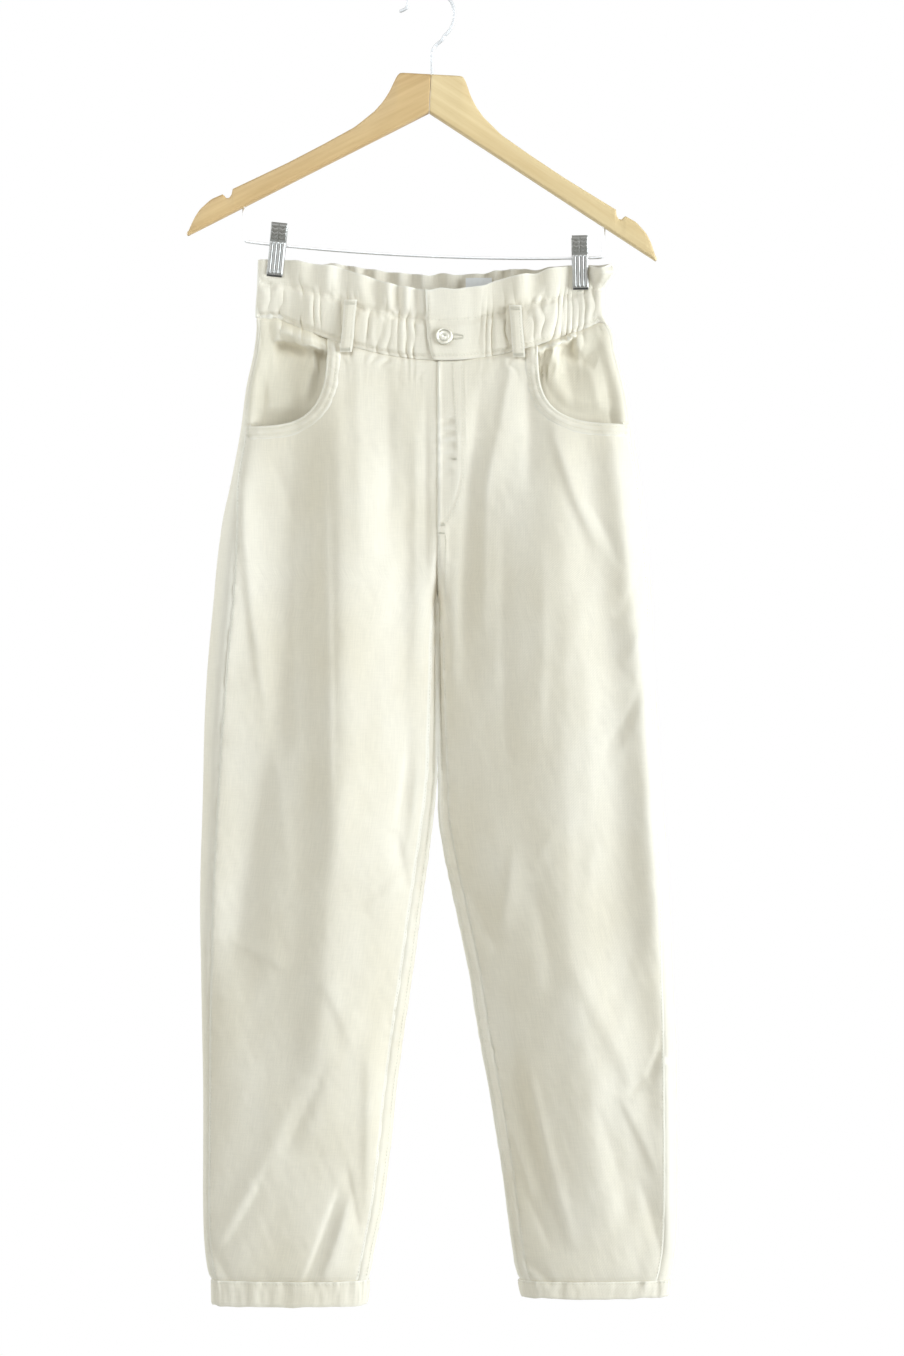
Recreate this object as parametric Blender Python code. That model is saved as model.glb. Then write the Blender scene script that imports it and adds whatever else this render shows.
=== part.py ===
"""Jeans with a gathered paperbag waist, hung by two clips from a wooden hanger.

Metres, +Z up. The origin is the inside top of the hanger's hook. The front of the jeans faces -Y and
the wearer's left is +X. Tables are in millimetres; "drop" is the distance below the hook's seat.
Each half of the garment is one ring of cloth: q runs from 0 at the front's inner edge over 0.5 at the
side edge to 1 at the back's inner edge, so that panels cut from one ring meet edge to edge.
"""

import math

import bpy
import bmesh
import numpy as np
from mathutils import Matrix, Vector

MM = 0.001
RIGHT = -1.0
LEFT = 1.0
SIDES = {"right": RIGHT, "left": LEFT}

# Cloth
WALL = 0.0016
HEM_WALL = 0.0024
STRIP_WALL = 0.0010
SEAM_GAP = 0.0003
SEAM_HALF_GAP = 0.0002
ON_TOP = 0.0005
HEM_ON_TOP = 0.0012
# A section's depth across: how square its side is on the trunk and on the legs, and how much of the
# width the rounding at a leg's inner edge takes, at the crotch and lower down
SIDE_ROUNDNESS = 0.4
SIDE_POWER = (2.0, 3.0)
SIDE_POWER_DROPS = (0.45, 0.85)
INNER_ROUND = (0.10, 0.36)
INNER_ROUND_END = 0.95
# How suddenly each face turns in to the crotch, and how far apart the halves stand once they are legs
FRONT_DIVE = 3.2
BACK_DIVE = 2.4
LEGS_APART = 0.0011
APART_RISE = 0.10

# Heights of the garment's lines, as drops below the hook's seat
FRILL_TOP = 0.260
CASING_TOP = 0.280
WAIST_SEAM = 0.314
FLY_END = 0.515
CROTCH = 0.583
HEM_TOP = 1.231
HEM_END = {"right": 1.255, "left": 1.247}
CENTRE = 0.009

SECTION_COLUMNS = (
    "drop", "right_side", "right_inner", "left_inner", "left_side", "front_depth", "back_depth",
)
SECTION_ROWS = (
    (255, -161.0, 9.0, 9.0, 170.0, 9.0, 10.0),
    (285, -162.0, 9.0, 9.0, 166.5, 10.0, 12.0),
    (314, -163.5, 9.0, 9.0, 169.0, 12.0, 15.0),
    (322, -163.0, 9.0, 9.0, 174.0, 13.0, 16.5),
    (344, -165.0, 9.0, 9.0, 179.0, 16.0, 21.0),
    (382, -173.0, 9.0, 9.0, 189.0, 21.0, 28.0),
    (420, -178.0, 9.0, 9.0, 195.0, 25.0, 34.0),
    (458, -185.0, 9.0, 9.0, 201.0, 28.0, 38.0),
    (482, -190.0, 9.0, 9.0, 204.5, 29.5, 39.5),
    (497, -193.5, 9.0, 9.0, 206.0, 30.0, 40.0),
    (540, -200.0, 9.0, 9.0, 210.0, 31.0, 39.0),
    (583, -204.0, 9.0, 9.0, 213.0, 31.0, 37.0),
    (649, -210.0, 9.0, 9.0, 215.0, 30.0, 35.0),
    (707, -213.0, 9.0, 9.0, 219.5, 29.0, 33.0),
    (757, -214.0, 8.1, 9.9, 222.0, 28.5, 31.0),
    (793, -215.0, 4.6, 10.4, 225.0, 28.0, 30.0),
    (821, -216.0, 1.1, 14.9, 227.5, 27.5, 29.0),
    (879, -217.0, -6.9, 26.9, 231.0, 26.5, 28.0),
    (936, -216.0, -14.4, 38.9, 233.0, 26.0, 27.0),
    (993, -215.0, -22.9, 47.9, 236.0, 25.0, 26.0),
    (1050, -214.0, -30.4, 58.4, 237.0, 24.0, 25.0),
    (1108, -214.0, -36.4, 67.9, 237.5, 23.0, 24.0),
    (1165, -214.0, -43.9, 75.9, 237.0, 22.0, 23.0),
    (1200, -212.5, -50.9, 80.4, 235.5, 21.0, 22.0),
    (1222, -209.5, -54.9, 84.4, 232.0, 19.0, 20.0),
    (1233, -206.5, -56.9, 87.9, 229.5, 16.0, 17.0),
    (1260, -205.5, -59.9, 90.9, 227.5, 16.5, 17.5),
)

# How far the cloth sags between the clips, and how far the waist tips towards the wearer's left
SAG_COLUMNS = ("drop", "front_sag", "back_sag", "spread", "tip")
SAG_ROWS = (
    (260, 27.0, 10.0, 1.00, 2.3),
    (280, 33.0, 14.0, 0.70, 2.3),
    (314, 39.0, 20.0, 0.45, 2.3),
    (344, 31.0, 17.0, 0.50, 2.0),
    (382, 19.0, 11.0, 0.60, 1.2),
    (420, 9.0, 6.0, 0.80, 0.5),
    (480, 0.0, 0.0, 1.00, 0.0),
)
SAG_REACH = 0.152

# The side seam and the inseam lie inside the outline, on the front
INSET_COLUMNS = ("drop", "right_side", "left_side", "inseam")
INSET_ROWS = (
    (314, 3.0, 3.0, 0.0),
    (420, 5.0, 4.0, 0.0),
    (478, 8.0, 3.5, 0.0),
    (505, 14.0, 3.5, 0.0),
    (583, 19.0, 3.5, 0.0),
    (600, 19.0, 3.5, 3.0),
    (649, 19.0, 4.0, 5.0),
    (757, 15.0, 6.0, 8.0),
    (870, 12.0, 9.0, 9.5),
    (1000, 7.0, 12.0, 9.5),
    (1231, 5.0, 12.0, 9.0),
)

# The largest folds: soft ridges (height above 0) and troughs between two points of the cloth
FOLD_COLUMNS = ("x0", "drop0", "x1", "drop1", "bend", "width", "height")
FRONT_FOLDS = (
    (-75, 350, -58, 620, 4, 18, 4.0),
    (-60, 560, -50, 960, -6, 24, 4.5),
    (-108, 400, -106, 900, 3, 19, -8.5),
    (-178, 440, -150, 720, -5, 15, 4.5),
    (-182, 830, -150, 1060, 0, 34, -6.0),
    (-112, 1035, -200, 1200, 6, 18, 6.0),
    (-80, 1130, -118, 1240, 0, 14, -5.0),
    (-55, 960, -58, 1190, 0, 16, 4.0),
    (52, 375, 32, 680, -5, 16, -6.5),
    (82, 335, 50, 500, 3, 14, 3.5),
    (96, 380, 86, 830, 4, 30, -7.0),
    (116, 410, 168, 570, -4, 16, 4.0),
    (138, 580, 148, 930, 9, 24, 7.0),
    (134, 930, 205, 1070, 4, 17, 4.5),
    (82, 990, 128, 1210, -4, 20, -5.0),
    (225, 985, 190, 1060, 8, 13, -3.5),
)
BACK_FOLDS = (
    (-70, 345, -95, 640, 5, 20, 4.0),
    (-120, 420, -110, 860, -5, 28, -7.0),
    (-60, 600, -52, 960, 4, 22, 4.5),
    (-165, 900, -95, 1080, 8, 30, -5.5),
    (-100, 1060, -185, 1210, 5, 22, 5.0),
    (70, 350, 60, 620, -4, 20, -5.5),
    (110, 400, 150, 760, 6, 26, 5.5),
    (120, 700, 105, 1000, -6, 28, -6.5),
    (190, 800, 165, 1080, 5, 20, 4.5),
    (110, 1040, 175, 1215, -5, 22, -5.0),
    (9, 400, 9, 570, 0, 26, -5.0),
)

# Gathers of the waist: the puff of each line, and waves of uneven length across
PUFF_COLUMNS = ("drop", "puff", "wave")
PUFF_ROWS = ((260, 1.8, 2.4), (270, 0.6, 2.6), (280, -1.4, 1.8), (297, 1.8, 2.8), (314, -0.8, 1.6))
WAVE_PITCH = 0.031
WAVE_DRIFT = 0.047
WAVE_UNEVEN = 0.45

# The clips: where they hold the waist, and how flat they press it
CLIP_X = {"right": -0.1435, "left": 0.1450}
CLIP_REACH = 0.024
CLIP_END = 0.290
CLIP_FADE = 0.400
PINCHED_DEPTH = 0.0011
# Folds fade out where the section is shallower than this share of its depth
FOLD_FADE = 0.55

# Front pockets: a scooped mouth from the waist seam to the side seam
MOUTH_TOP_X = {"right": -0.095, "left": 0.104}
MOUTH_DROP = {"right": 0.419, "left": 0.4155}
MOUTH_POWER = 3.4
MOUTH_CORNER = 0.80
POCKET_HEM = 0.0110
FACING_MARGIN = 0.014
FACING_BACK = 0.0028
FACING_COVER = (0.78, 0.93)
FACING_GRID = (8, 9)

# Counts of the panels' grids
MOUTH_ROWS = 5
MOUTH_CORNER_DROP = 0.400
HIP_ROWS = 4
CROTCH_ROWS = 5
CROTCH_CROWDING = 1.6
LEG_ROWS = 17
INNER_COLUMNS = 7
MOUTH_COLUMNS = 6
INNER_CROWDING = 1.2
# Places across the back, 1 at the side edge and 0 at the inner edge
BACK_SHARES = (1.0, 0.94, 0.83, 0.68, 0.52, 0.36, 0.22, 0.12, 0.05, 0.014, 0.004)
WAIST_COLUMNS = 24
HEM_COLUMNS = 22
# Steps along the ring for its direction and for its length
TURN_STEP = 0.004
FINE_STEP = 0.001
MOUTH_DIP_FADE = (1.0, 0.6, 0.25)
MOUTH_BLEND = 0.030

# The tab, the fly and the button
TAB_EDGE = ((260, -3.0), (297, -1.0), (314, 5.0))
TAB_UNDER = 0.018
TAB_FLAT = 0.026
TAB_FADE = (0.012, 0.040)
TAB_END = 0.050
TAB_RAISE = 0.0026
TAB_COLUMNS = 7
TAB_JOIN = 0.004
FLY_WIDTH = 0.024
FLY_CURVE_START = 0.455
FLY_FOOT = 0.006
FLY_COLUMNS = 2
BUTTON_X = 0.0155
BUTTON_DROP = 0.3325
BUTTON_SAG = 0.0385
BUTTON_RADIUS = 0.0082

# Belt loops: (name, face, x at the top, x at the bottom); the back ones are plain
LOOP_WIDTH = 0.0115
LOOP_WALL = 0.0018
LOOP_CLEAR = 0.0010
LOOP_BOW = 0.0012
LOOP_TOP = 0.280
LOOP_END = 0.324
LOOPS = (
    ("belt_loop_front_right", "front", -0.0735, -0.0780),
    ("belt_loop_front_left", "front", 0.0830, 0.0868),
    ("belt_loop_back_right", "back", -0.0880, -0.0900),
    ("belt_loop_back_centre", "back", 0.0090, 0.0090),
    ("belt_loop_back_left", "back", 0.1010, 0.1030),
)
LABEL_X = (0.036, 0.061)
LABEL_DROP = (0.264, 0.292)
LABEL_WALL = 0.0008
LABEL_OFF = 0.0012

# Hanger, in its own frame: x along the shoulders from the middle, drop below the top of its head
HANGER_TILT = math.radians(3.1)
HEAD_AT = Vector((0.003, 0.0, -0.0812))
WOOD_COLUMNS = ("along", "top", "thickness")
WOOD_ROWS = (
    (0.2, 0.0, 14.0),
    (29.0, 0.0, 14.0),
    (32.0, 1.6, 14.0),
    (38.5, 18.0, 14.0),
    (44.0, 28.0, 13.6),
    (52.0, 38.0, 13.2),
    (70.0, 54.0, 12.6),
    (99.0, 72.0, 12.2),
    (132.0, 91.5, 12.0),
    (165.0, 109.5, 12.0),
    (181.0, 118.3, 12.0),
    (183.5, 124.5, 12.0),
    (187.0, 127.2, 12.0),
    (190.5, 124.9, 12.0),
    (203.0, 130.0, 11.8),
    (213.5, 140.5, 11.4),
    (219.5, 151.0, 10.6),
    (223.0, 161.5, 9.0),
)
WOOD_UNDERSIDE = 0.0363
WOOD_SLOPE = 0.58
WOOD_EDGE = 0.0022
STEM_X = 0.0008
STEM_DEPTH = 0.024
HOLE_CLEARANCE = 0.0004

# Hook: a round bow over the seat, a kink, and a straight stem into the head
WIRE = 0.0016
BOW_RADIUS = 0.0253
BOW_START = -52
BOW_END = 138
HOOK_TIP = ((-19.5, -16.2), (-22.0, -18.4), (-26.5, -20.4))
KINK = ((13.5, -48.0), (8.5, -51.6), (5.2, -56.0))

# Trouser bar: a thin wire from the wood down, across and up again
BAR_WIRE = 0.0014
BAR_ENDS = ((-176.0, 203.5), (168.2, 223.0))
BAR_CORNERS = ((-175.0, 240.0), (167.2, 255.2))
BAR_CORNER_RADIUS = 0.006
BAR_SAG = 0.0065

# Clips
JAW_WIDTH = 0.0152
JAW_WALL = 0.0010
JAW_ABOVE = 0.0205
JAW_BELOW = 0.0290
JAW_OPEN = 0.0092
JAW_HOLD = 0.0042
PAD_WALL = 0.0011
PAD_HEIGHT = 0.0095
PAD_AT = 0.0030
SPRING_RADIUS = 0.0031
SPRING_LENGTH = 0.0125

COLORS = {
    "denim": ((0.80, 0.77, 0.67, 1.0), 0.92, 0.0),
    "denim_inside": ((0.72, 0.68, 0.56, 1.0), 0.95, 0.0),
    "label": ((0.86, 0.86, 0.85, 1.0), 0.80, 0.0),
    "button_metal": ((0.70, 0.69, 0.62, 1.0), 0.35, 1.0),
    "beech_dark": ((0.66, 0.48, 0.27, 1.0), 0.42, 0.0),
    "beech_light": ((0.76, 0.59, 0.36, 1.0), 0.42, 0.0),
    "hook_chrome": ((0.83, 0.84, 0.85, 1.0), 0.14, 1.0),
    "clip_steel": ((0.50, 0.51, 0.52, 1.0), 0.30, 1.0),
    "clip_rubber": ((0.10, 0.10, 0.10, 1.0), 0.80, 0.0),
}


def clear_scene():
    for thing in list(bpy.data.objects):
        bpy.data.objects.remove(thing, do_unlink=True)


def table(columns, rows):
    """The named columns of a table, in metres."""
    values = np.array(rows, dtype=float) * MM
    return {name: values[:, i] for i, name in enumerate(columns)}


SECTIONS = table(SECTION_COLUMNS, SECTION_ROWS)
SAGS = table(SAG_COLUMNS, SAG_ROWS)
INSETS = table(INSET_COLUMNS, INSET_ROWS)
PUFFS = table(PUFF_COLUMNS, PUFF_ROWS)
WOOD = table(WOOD_COLUMNS, WOOD_ROWS)


def smooth(at, named, column):
    """A column's value at each drop, on a smooth curve through the rows."""
    knots = named["drop"]
    values = named[column]
    slopes = np.gradient(values, knots)
    at = np.clip(at, knots[0], knots[-1])
    low = np.clip(np.searchsorted(knots, at, side="right") - 1, 0, len(knots) - 2)
    gap = knots[low + 1] - knots[low]
    t = (at - knots[low]) / gap
    start = values[low] * (1 + 2 * t) * (1 - t) ** 2 + slopes[low] * gap * t * (1 - t) ** 2
    end = values[low + 1] * t * t * (3 - 2 * t) - slopes[low + 1] * gap * t * t * (1 - t)
    return start + end


def ramp(value, low, high):
    """0 below low, 1 above high, and a soft step between."""
    t = np.clip((value - low) / (high - low), 0.0, 1.0)
    return t * t * (3 - 2 * t)


def by_side(side, right, left):
    return np.where(side < 0, right, left)


# ---------------------------------------------------------------- the ring of cloth


def inner_and_outer(side, drop):
    inner = by_side(side, smooth(drop, SECTIONS, "right_inner"), smooth(drop, SECTIONS, "left_inner"))
    outer = by_side(side, smooth(drop, SECTIONS, "right_side"), smooth(drop, SECTIONS, "left_side"))
    shut = closing(drop, min(FRONT_DIVE, BACK_DIVE))
    apart = LEGS_APART * (1 + APART_RISE) * shut / (shut + APART_RISE)
    return inner + side * apart, outer


def closing(drop, power):
    """0 where the two halves are one trunk, 1 where each is a closed leg."""
    return np.clip((drop - FLY_END) / (CROTCH - FLY_END), 0.0, 1.0) ** power


def across_of(turn, shut):
    """How far across the section, 0 at the inner edge and 1 at the side edge."""
    return (1 - shut) * np.sin(math.pi * turn) + shut * (1 - np.cos(2 * math.pi * turn)) / 2


def depth_share(turn, across, shut, drop):
    """The depth at each point of a section, as a share of its greatest depth."""
    power = SIDE_POWER[0] + (SIDE_POWER[1] - SIDE_POWER[0]) * ramp(drop, *SIDE_POWER_DROPS)
    at_side = np.clip(1 - np.abs(across) ** power, 0.0, 1.0) ** SIDE_ROUNDNESS
    rounding = INNER_ROUND[0] + (INNER_ROUND[1] - INNER_ROUND[0]) * ramp(drop, CROTCH, INNER_ROUND_END)
    towards = np.clip(np.abs(across) / rounding, 0.0, 1.0)
    at_inner = np.sign(turn) * np.sqrt(1 - (1 - towards) ** 2)
    return at_side * (1 - shut + shut * at_inner)


def turn_of(across, shut):
    """The place on the front whose distance across is given, found by halving."""
    low = np.zeros_like(across)
    high = np.full_like(across, 0.5)
    for _ in range(40):
        middle = (low + high) / 2
        short = across_of(middle, shut) < across
        low = np.where(short, middle, low)
        high = np.where(short, high, middle)
    return (low + high) / 2


def pinch(x, drop):
    """1 where a clip presses the waist flat, 0 far from it."""
    near = sum(np.exp(-(((x - at) / CLIP_REACH) ** 4)) for at in CLIP_X.values())
    return near * (1 - ramp(drop, CLIP_END, CLIP_FADE))


def sag_of(x, drop, front):
    """How much lower than its nominal drop the cloth hangs."""
    bell = (1 + np.cos(math.pi * np.clip(np.abs(x - CENTRE) / SAG_REACH, 0, 1))) / 2
    spread = smooth(drop, SAGS, "spread") / MM
    sag = np.where(front, smooth(drop, SAGS, "front_sag"), smooth(drop, SAGS, "back_sag"))
    return sag * bell**spread + smooth(drop, SAGS, "tip") * x / CLIP_X["left"]


def fold_relief(rows, x, drop):
    """The height of all the folds of one face at each point."""
    total = np.zeros_like(x)
    for row in rows:
        fold = dict(zip(FOLD_COLUMNS, np.array(row) * MM))
        run_x = fold["x1"] - fold["x0"]
        run_drop = fold["drop1"] - fold["drop0"]
        length = math.hypot(run_x, run_drop)
        along = ((x - fold["x0"]) * run_x + (drop - fold["drop0"]) * run_drop) / length**2
        along = np.clip(along, 0.0, 1.0)
        aside = ((x - fold["x0"]) * run_drop - (drop - fold["drop0"]) * run_x) / length
        aside = aside - fold["bend"] * 4 * along * (1 - along)
        taper = 1 - np.abs(2 * along - 1) ** 3
        total = total + fold["height"] * taper * np.exp(-((aside / fold["width"]) ** 2))
    return total


def waist_relief(x, drop):
    """The gathers: each line's puff, and waves of uneven length across it."""
    puff = smooth(drop, PUFFS, "puff")
    wave = smooth(drop, PUFFS, "wave")
    phase = x / WAVE_PITCH + WAVE_UNEVEN * np.sin(x / WAVE_DRIFT)
    gathers = puff + wave * np.sin(2 * math.pi * phase)
    smooth_tab = ramp(np.abs(x - TAB_FLAT), *TAB_FADE)
    return gathers * smooth_tab * (drop < WAIST_SEAM)


def middle_point(side, q, drop):
    """The cloth's middle surface, folds and all, as an array of points."""
    side, q, drop = np.broadcast_arrays(side, q, drop)
    over = (q > 1.0) & (drop >= CROTCH)
    q = np.where(over, q - 1.0, q)
    front = q < 0.5
    turn = np.where(front, q, 1.0 - q)
    shut = np.where(front, closing(drop, FRONT_DIVE), closing(drop, BACK_DIVE))
    across = across_of(turn, shut)
    deep = depth_share(turn, across, shut, drop)
    inner, outer = inner_and_outer(side, drop)
    x = inner + (outer - inner) * across
    depth = np.where(front, smooth(drop, SECTIONS, "front_depth"), smooth(drop, SECTIONS, "back_depth"))
    pressed = pinch(x, drop)
    depth = depth * deep * (1 - pressed) + PINCHED_DEPTH * pressed
    hang = drop + sag_of(x, drop, front)
    folds = np.where(front, fold_relief(FRONT_FOLDS, x, hang), fold_relief(BACK_FOLDS, x, hang))
    soften = ramp(deep, 0.0, FOLD_FADE) * (1 - pressed)
    relief = (folds + waist_relief(x, drop)) * soften
    out = np.where(front, -1.0, 1.0)
    return np.stack([x, out * (depth + relief), -hang], axis=-1)


def ring(side, q, drop):
    """Points of the middle surface and the level direction that faces out of the cloth there."""
    ahead = middle_point(side, q + TURN_STEP, drop) - middle_point(side, q - TURN_STEP, drop)
    side = np.broadcast_to(side, ahead.shape[:-1])
    out = np.stack([side * ahead[..., 1], -side * ahead[..., 0], np.zeros_like(ahead[..., 0])], axis=-1)
    out /= np.linalg.norm(out, axis=-1, keepdims=True)
    return middle_point(side, q, drop), out


def back_off(side, q, drop, direction):
    """q moved along the ring by half a seam's gap."""
    here = middle_point(side, q, drop)
    there = middle_point(side, q + direction * FINE_STEP, drop)
    length = np.maximum(np.linalg.norm(there - here, axis=-1), 1e-6)
    return q + direction * FINE_STEP * SEAM_HALF_GAP / length


def trunk_side_and_turn(x, drop):
    """Which half an x of the trunk lies on, and its place on the front of that half's ring."""
    side = np.where(x < CENTRE, RIGHT, LEFT)
    inner, outer = inner_and_outer(side, drop)
    across = np.clip((x - inner) / (outer - inner), 0.0, 1.0)
    return side, np.arcsin(across) / math.pi


def trunk_point(x, drop, face):
    """Middle point and outward direction of the trunk at x, on its front or back."""
    x, drop = np.broadcast_arrays(x, drop)
    side, turn = trunk_side_and_turn(x, drop)
    return ring(side, turn if face == "front" else 1.0 - turn, drop)


# ---------------------------------------------------------------- solids


def material(name):
    if name in bpy.data.materials:
        return bpy.data.materials[name]
    color, roughness, metallic = COLORS[name]
    made = bpy.data.materials.new(name)
    made.use_nodes = True
    shader = made.node_tree.nodes["Principled BSDF"]
    shader.inputs["Base Color"].default_value = color
    shader.inputs["Roughness"].default_value = roughness
    shader.inputs["Metallic"].default_value = metallic
    made.diffuse_color = color
    return made


def add_object(name, bm, material_name, round_angle=40):
    bmesh.ops.recalc_face_normals(bm, faces=bm.faces)
    mesh = bpy.data.meshes.new(name)
    bm.to_mesh(mesh)
    bm.free()
    mesh.shade_smooth()
    mesh.set_sharp_from_angle(angle=math.radians(round_angle))
    mesh.materials.append(material(material_name))
    made = bpy.data.objects.new(name, mesh)
    bpy.context.scene.collection.objects.link(made)
    return made


def add_wall(name, middle, out, wall, material_name, keep=None, ring_closed=False):
    """A cloth wall: a grid of middle points, moved half its thickness each way, with its rims closed."""
    rows, columns = middle.shape[:2]
    keep = np.ones((rows, columns), dtype=bool) if keep is None else keep
    bm = bmesh.new()
    faces = {1: {}, -1: {}}
    for way in (1, -1):
        points = middle + out * (way * wall / 2)
        for r in range(rows):
            for c in range(columns):
                if keep[r, c]:
                    faces[way][r, c] = bm.verts.new(points[r, c])
    edges = {}
    last = columns if ring_closed else columns - 1
    for r in range(rows - 1):
        for c in range(last):
            corners = [(r, c), (r + 1, c), (r + 1, (c + 1) % columns), (r, (c + 1) % columns)]
            if not all(corner in faces[1] for corner in corners):
                continue
            for three in (corners[:3], corners[2:] + corners[:1]):
                bm.faces.new([faces[1][corner] for corner in three])
                bm.faces.new([faces[-1][corner] for corner in reversed(three)])
            for start, end in zip(corners, corners[1:] + corners[:1]):
                if (end, start) in edges:
                    del edges[end, start]
                else:
                    edges[start, end] = True
    for start, end in edges:
        bm.faces.new([faces[1][end], faces[1][start], faces[-1][start], faces[-1][end]])
    return add_object(name, bm, material_name, round_angle=50)


# ---------------------------------------------------------------- panels


def panel_drops():
    """Drops of the rows shared by fronts and backs, from below the mouth's corner to the leg's hem."""
    hips = np.linspace(MOUTH_CORNER_DROP, FLY_END, HIP_ROWS + 1)
    crowded = 1 - (1 - np.linspace(0, 1, CROTCH_ROWS + 1)) ** CROTCH_CROWDING
    crotch = FLY_END + (CROTCH - FLY_END) * crowded
    legs = np.linspace(CROTCH, HEM_TOP - SEAM_GAP, LEG_ROWS + 1)
    return np.concatenate([hips[1:], crotch[1:], legs[1:]])


def side_turn(side, name, drop):
    """Where the side seam lies on the ring, a little onto the front."""
    inner, outer = inner_and_outer(side, drop)
    inset = smooth(drop, INSETS, f"{name}_side") / np.abs(outer - inner)
    return turn_of(1.0 - inset, closing(drop, FRONT_DIVE))


def inner_turn(side, drop):
    """Where the front's inner edge lies on the ring: the centre seam, or the inseam on a leg."""
    inner, outer = inner_and_outer(side, drop)
    inset = smooth(drop, INSETS, "inseam") / np.abs(outer - inner)
    return turn_of(inset, np.ones_like(drop)) * (drop > CROTCH)


def mouth_shape(side, name):
    """Distances from the centre of the pocket mouth's top and of the side seam, and the mouth's height."""
    low = np.array([MOUTH_DROP[name]])
    inner, outer = inner_and_outer(side, low)
    inset = smooth(low, INSETS, f"{name}_side")
    reach = float((np.abs(outer - inner) - inset)[0])
    top = abs(MOUTH_TOP_X[name] - CENTRE)
    return top, reach, MOUTH_DROP[name] - WAIST_SEAM


def superellipse(value):
    return (1 - value**MOUTH_POWER) ** (1 / MOUTH_POWER)


def front_grid(side, name):
    """Turns and drops of the front's points, with the pocket mouth's corner left out."""
    top, reach, height = mouth_shape(side, name)
    corner = superellipse(MOUTH_CORNER)
    down = np.linspace(0.0, corner, MOUTH_ROWS + 1)
    mouth_drops = WAIST_SEAM + SEAM_GAP + height * down
    drops = np.concatenate([mouth_drops, panel_drops()])
    beside = MOUTH_CORNER * np.linspace(1.0, 0.0, MOUTH_COLUMNS + 1)
    wide = reach - (reach - top) * MOUTH_CORNER
    inner_part = wide * np.linspace(0.0, 1.0, INNER_COLUMNS + 1) ** INNER_CROWDING
    distances = np.concatenate([inner_part, (reach - (reach - top) * beside)[1:]])
    fractions = distances / reach
    dip = height * (superellipse(beside) - corner)
    rows = len(drops)
    columns = len(fractions)
    share = np.tile(fractions, (rows, 1))
    drop = np.tile(drops[:, None], (1, columns))
    keep = np.ones((rows, columns), dtype=bool)
    for r in range(MOUTH_ROWS):
        mouth = reach - (reach - top) * superellipse(down[r])
        share[r, : INNER_COLUMNS + 1] = fractions[: INNER_COLUMNS + 1] * mouth / wide
        keep[r, INNER_COLUMNS + 1 :] = False
    for r, fade in enumerate(MOUTH_DIP_FADE):
        drop[MOUTH_ROWS + r, INNER_COLUMNS:] += dip * fade
    start = inner_turn(side, drop)
    end = side_turn(side, name, drop)
    shut = closing(drop, FRONT_DIVE)
    low = across_of(start, shut)
    high = across_of(end, shut)
    span_at_mouth = np.abs(np.subtract(*inner_and_outer(side, drop)))
    fixed = share * reach / span_at_mouth
    spread = ramp(drop, MOUTH_DROP[name] - MOUTH_BLEND, MOUTH_DROP[name])
    across = fixed * (1 - spread) + (low + (high - low) * share) * spread
    turn = turn_of(np.clip(across, 0.0, 1.0), shut)
    turn[:, 0] = back_off(side, start[:, 0], drop[:, 0], 1)
    below = slice(MOUTH_ROWS, None)
    turn[below, -1] = back_off(side, end[below, -1], drop[below, -1], -1)
    return turn, drop, keep


def back_grid(side, name):
    """Turns and drops of the back's points, from the front's side seam round to its inner edge."""
    top = np.linspace(WAIST_SEAM + SEAM_GAP, MOUTH_CORNER_DROP, MOUTH_ROWS + 1)
    drops = np.concatenate([top, panel_drops()])
    shares = np.tile(BACK_SHARES, (len(drops), 1))
    between = 1.0 - turn_of(shares, closing(drops[:, None], BACK_DIVE))
    start = back_off(side, side_turn(side, name, drops), drops, 1)
    end = back_off(side, 1.0 + inner_turn(side, drops), drops, -1)
    turn = np.concatenate([start[:, None], between, end[:, None]], axis=1)
    return turn, np.tile(drops[:, None], (1, turn.shape[1]))


def add_panels(name, side):
    turn, drop, keep = front_grid(side, name)
    middle, out = ring(side, turn, drop)
    add_wall(f"front_{name}", middle, out, WALL, "denim", keep)
    add_pocket_hem(name, middle, out)
    if name == "left":
        add_fly(middle, out)
    turn, drop = back_grid(side, name)
    middle, out = ring(side, turn, drop)
    add_wall(f"back_{name}", middle, out, WALL, "denim")


def raised(wall):
    """How far the middle of a strip lies outside the middle of the panel that it is sewn on."""
    return WALL / 2 + ON_TOP + wall / 2


def towards(start, end, distance):
    """A point of the panel that lies the given distance from start on the way to end."""
    return start + (end - start) * (distance / np.linalg.norm(end - start))


def add_pocket_hem(name, middle, out):
    """The hem of the pocket mouth: a strip on the front, along the edge that the mouth cuts."""
    corner = (MOUTH_ROWS, INNER_COLUMNS)
    edge = [((r, corner[1]), (r, corner[1] - 1)) for r in range(corner[0])]
    edge.append((corner, (corner[0] + 1, corner[1] - 1)))
    last = middle.shape[1] - 1
    edge += [((corner[0], c), (corner[0] + 1, c)) for c in range(corner[1] + 1, last + 1)]
    rows = []
    outs = []
    lift = WALL / 2 + HEM_ON_TOP + STRIP_WALL / 2
    for at, inside in edge:
        start = middle[at] + out[at] * lift
        share = POCKET_HEM / np.linalg.norm(middle[inside] - middle[at])
        end_out = out[at] + (out[inside] - out[at]) * share
        end = towards(middle[at], middle[inside], POCKET_HEM) + end_out * lift
        rows.append([start, end])
        outs.append([out[at], end_out])
    add_wall(f"pocket_hem_{name}", np.array(rows), np.array(outs), STRIP_WALL, "denim")


def fly_width(height):
    """The fly is straight, then curves in to its foot above the crotch."""
    past = np.clip((height - FLY_CURVE_START) / (FLY_END - FLY_CURVE_START), 0, 1)
    return max(FLY_WIDTH * (1 - past**2) ** 0.5, FLY_FOOT)


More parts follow.
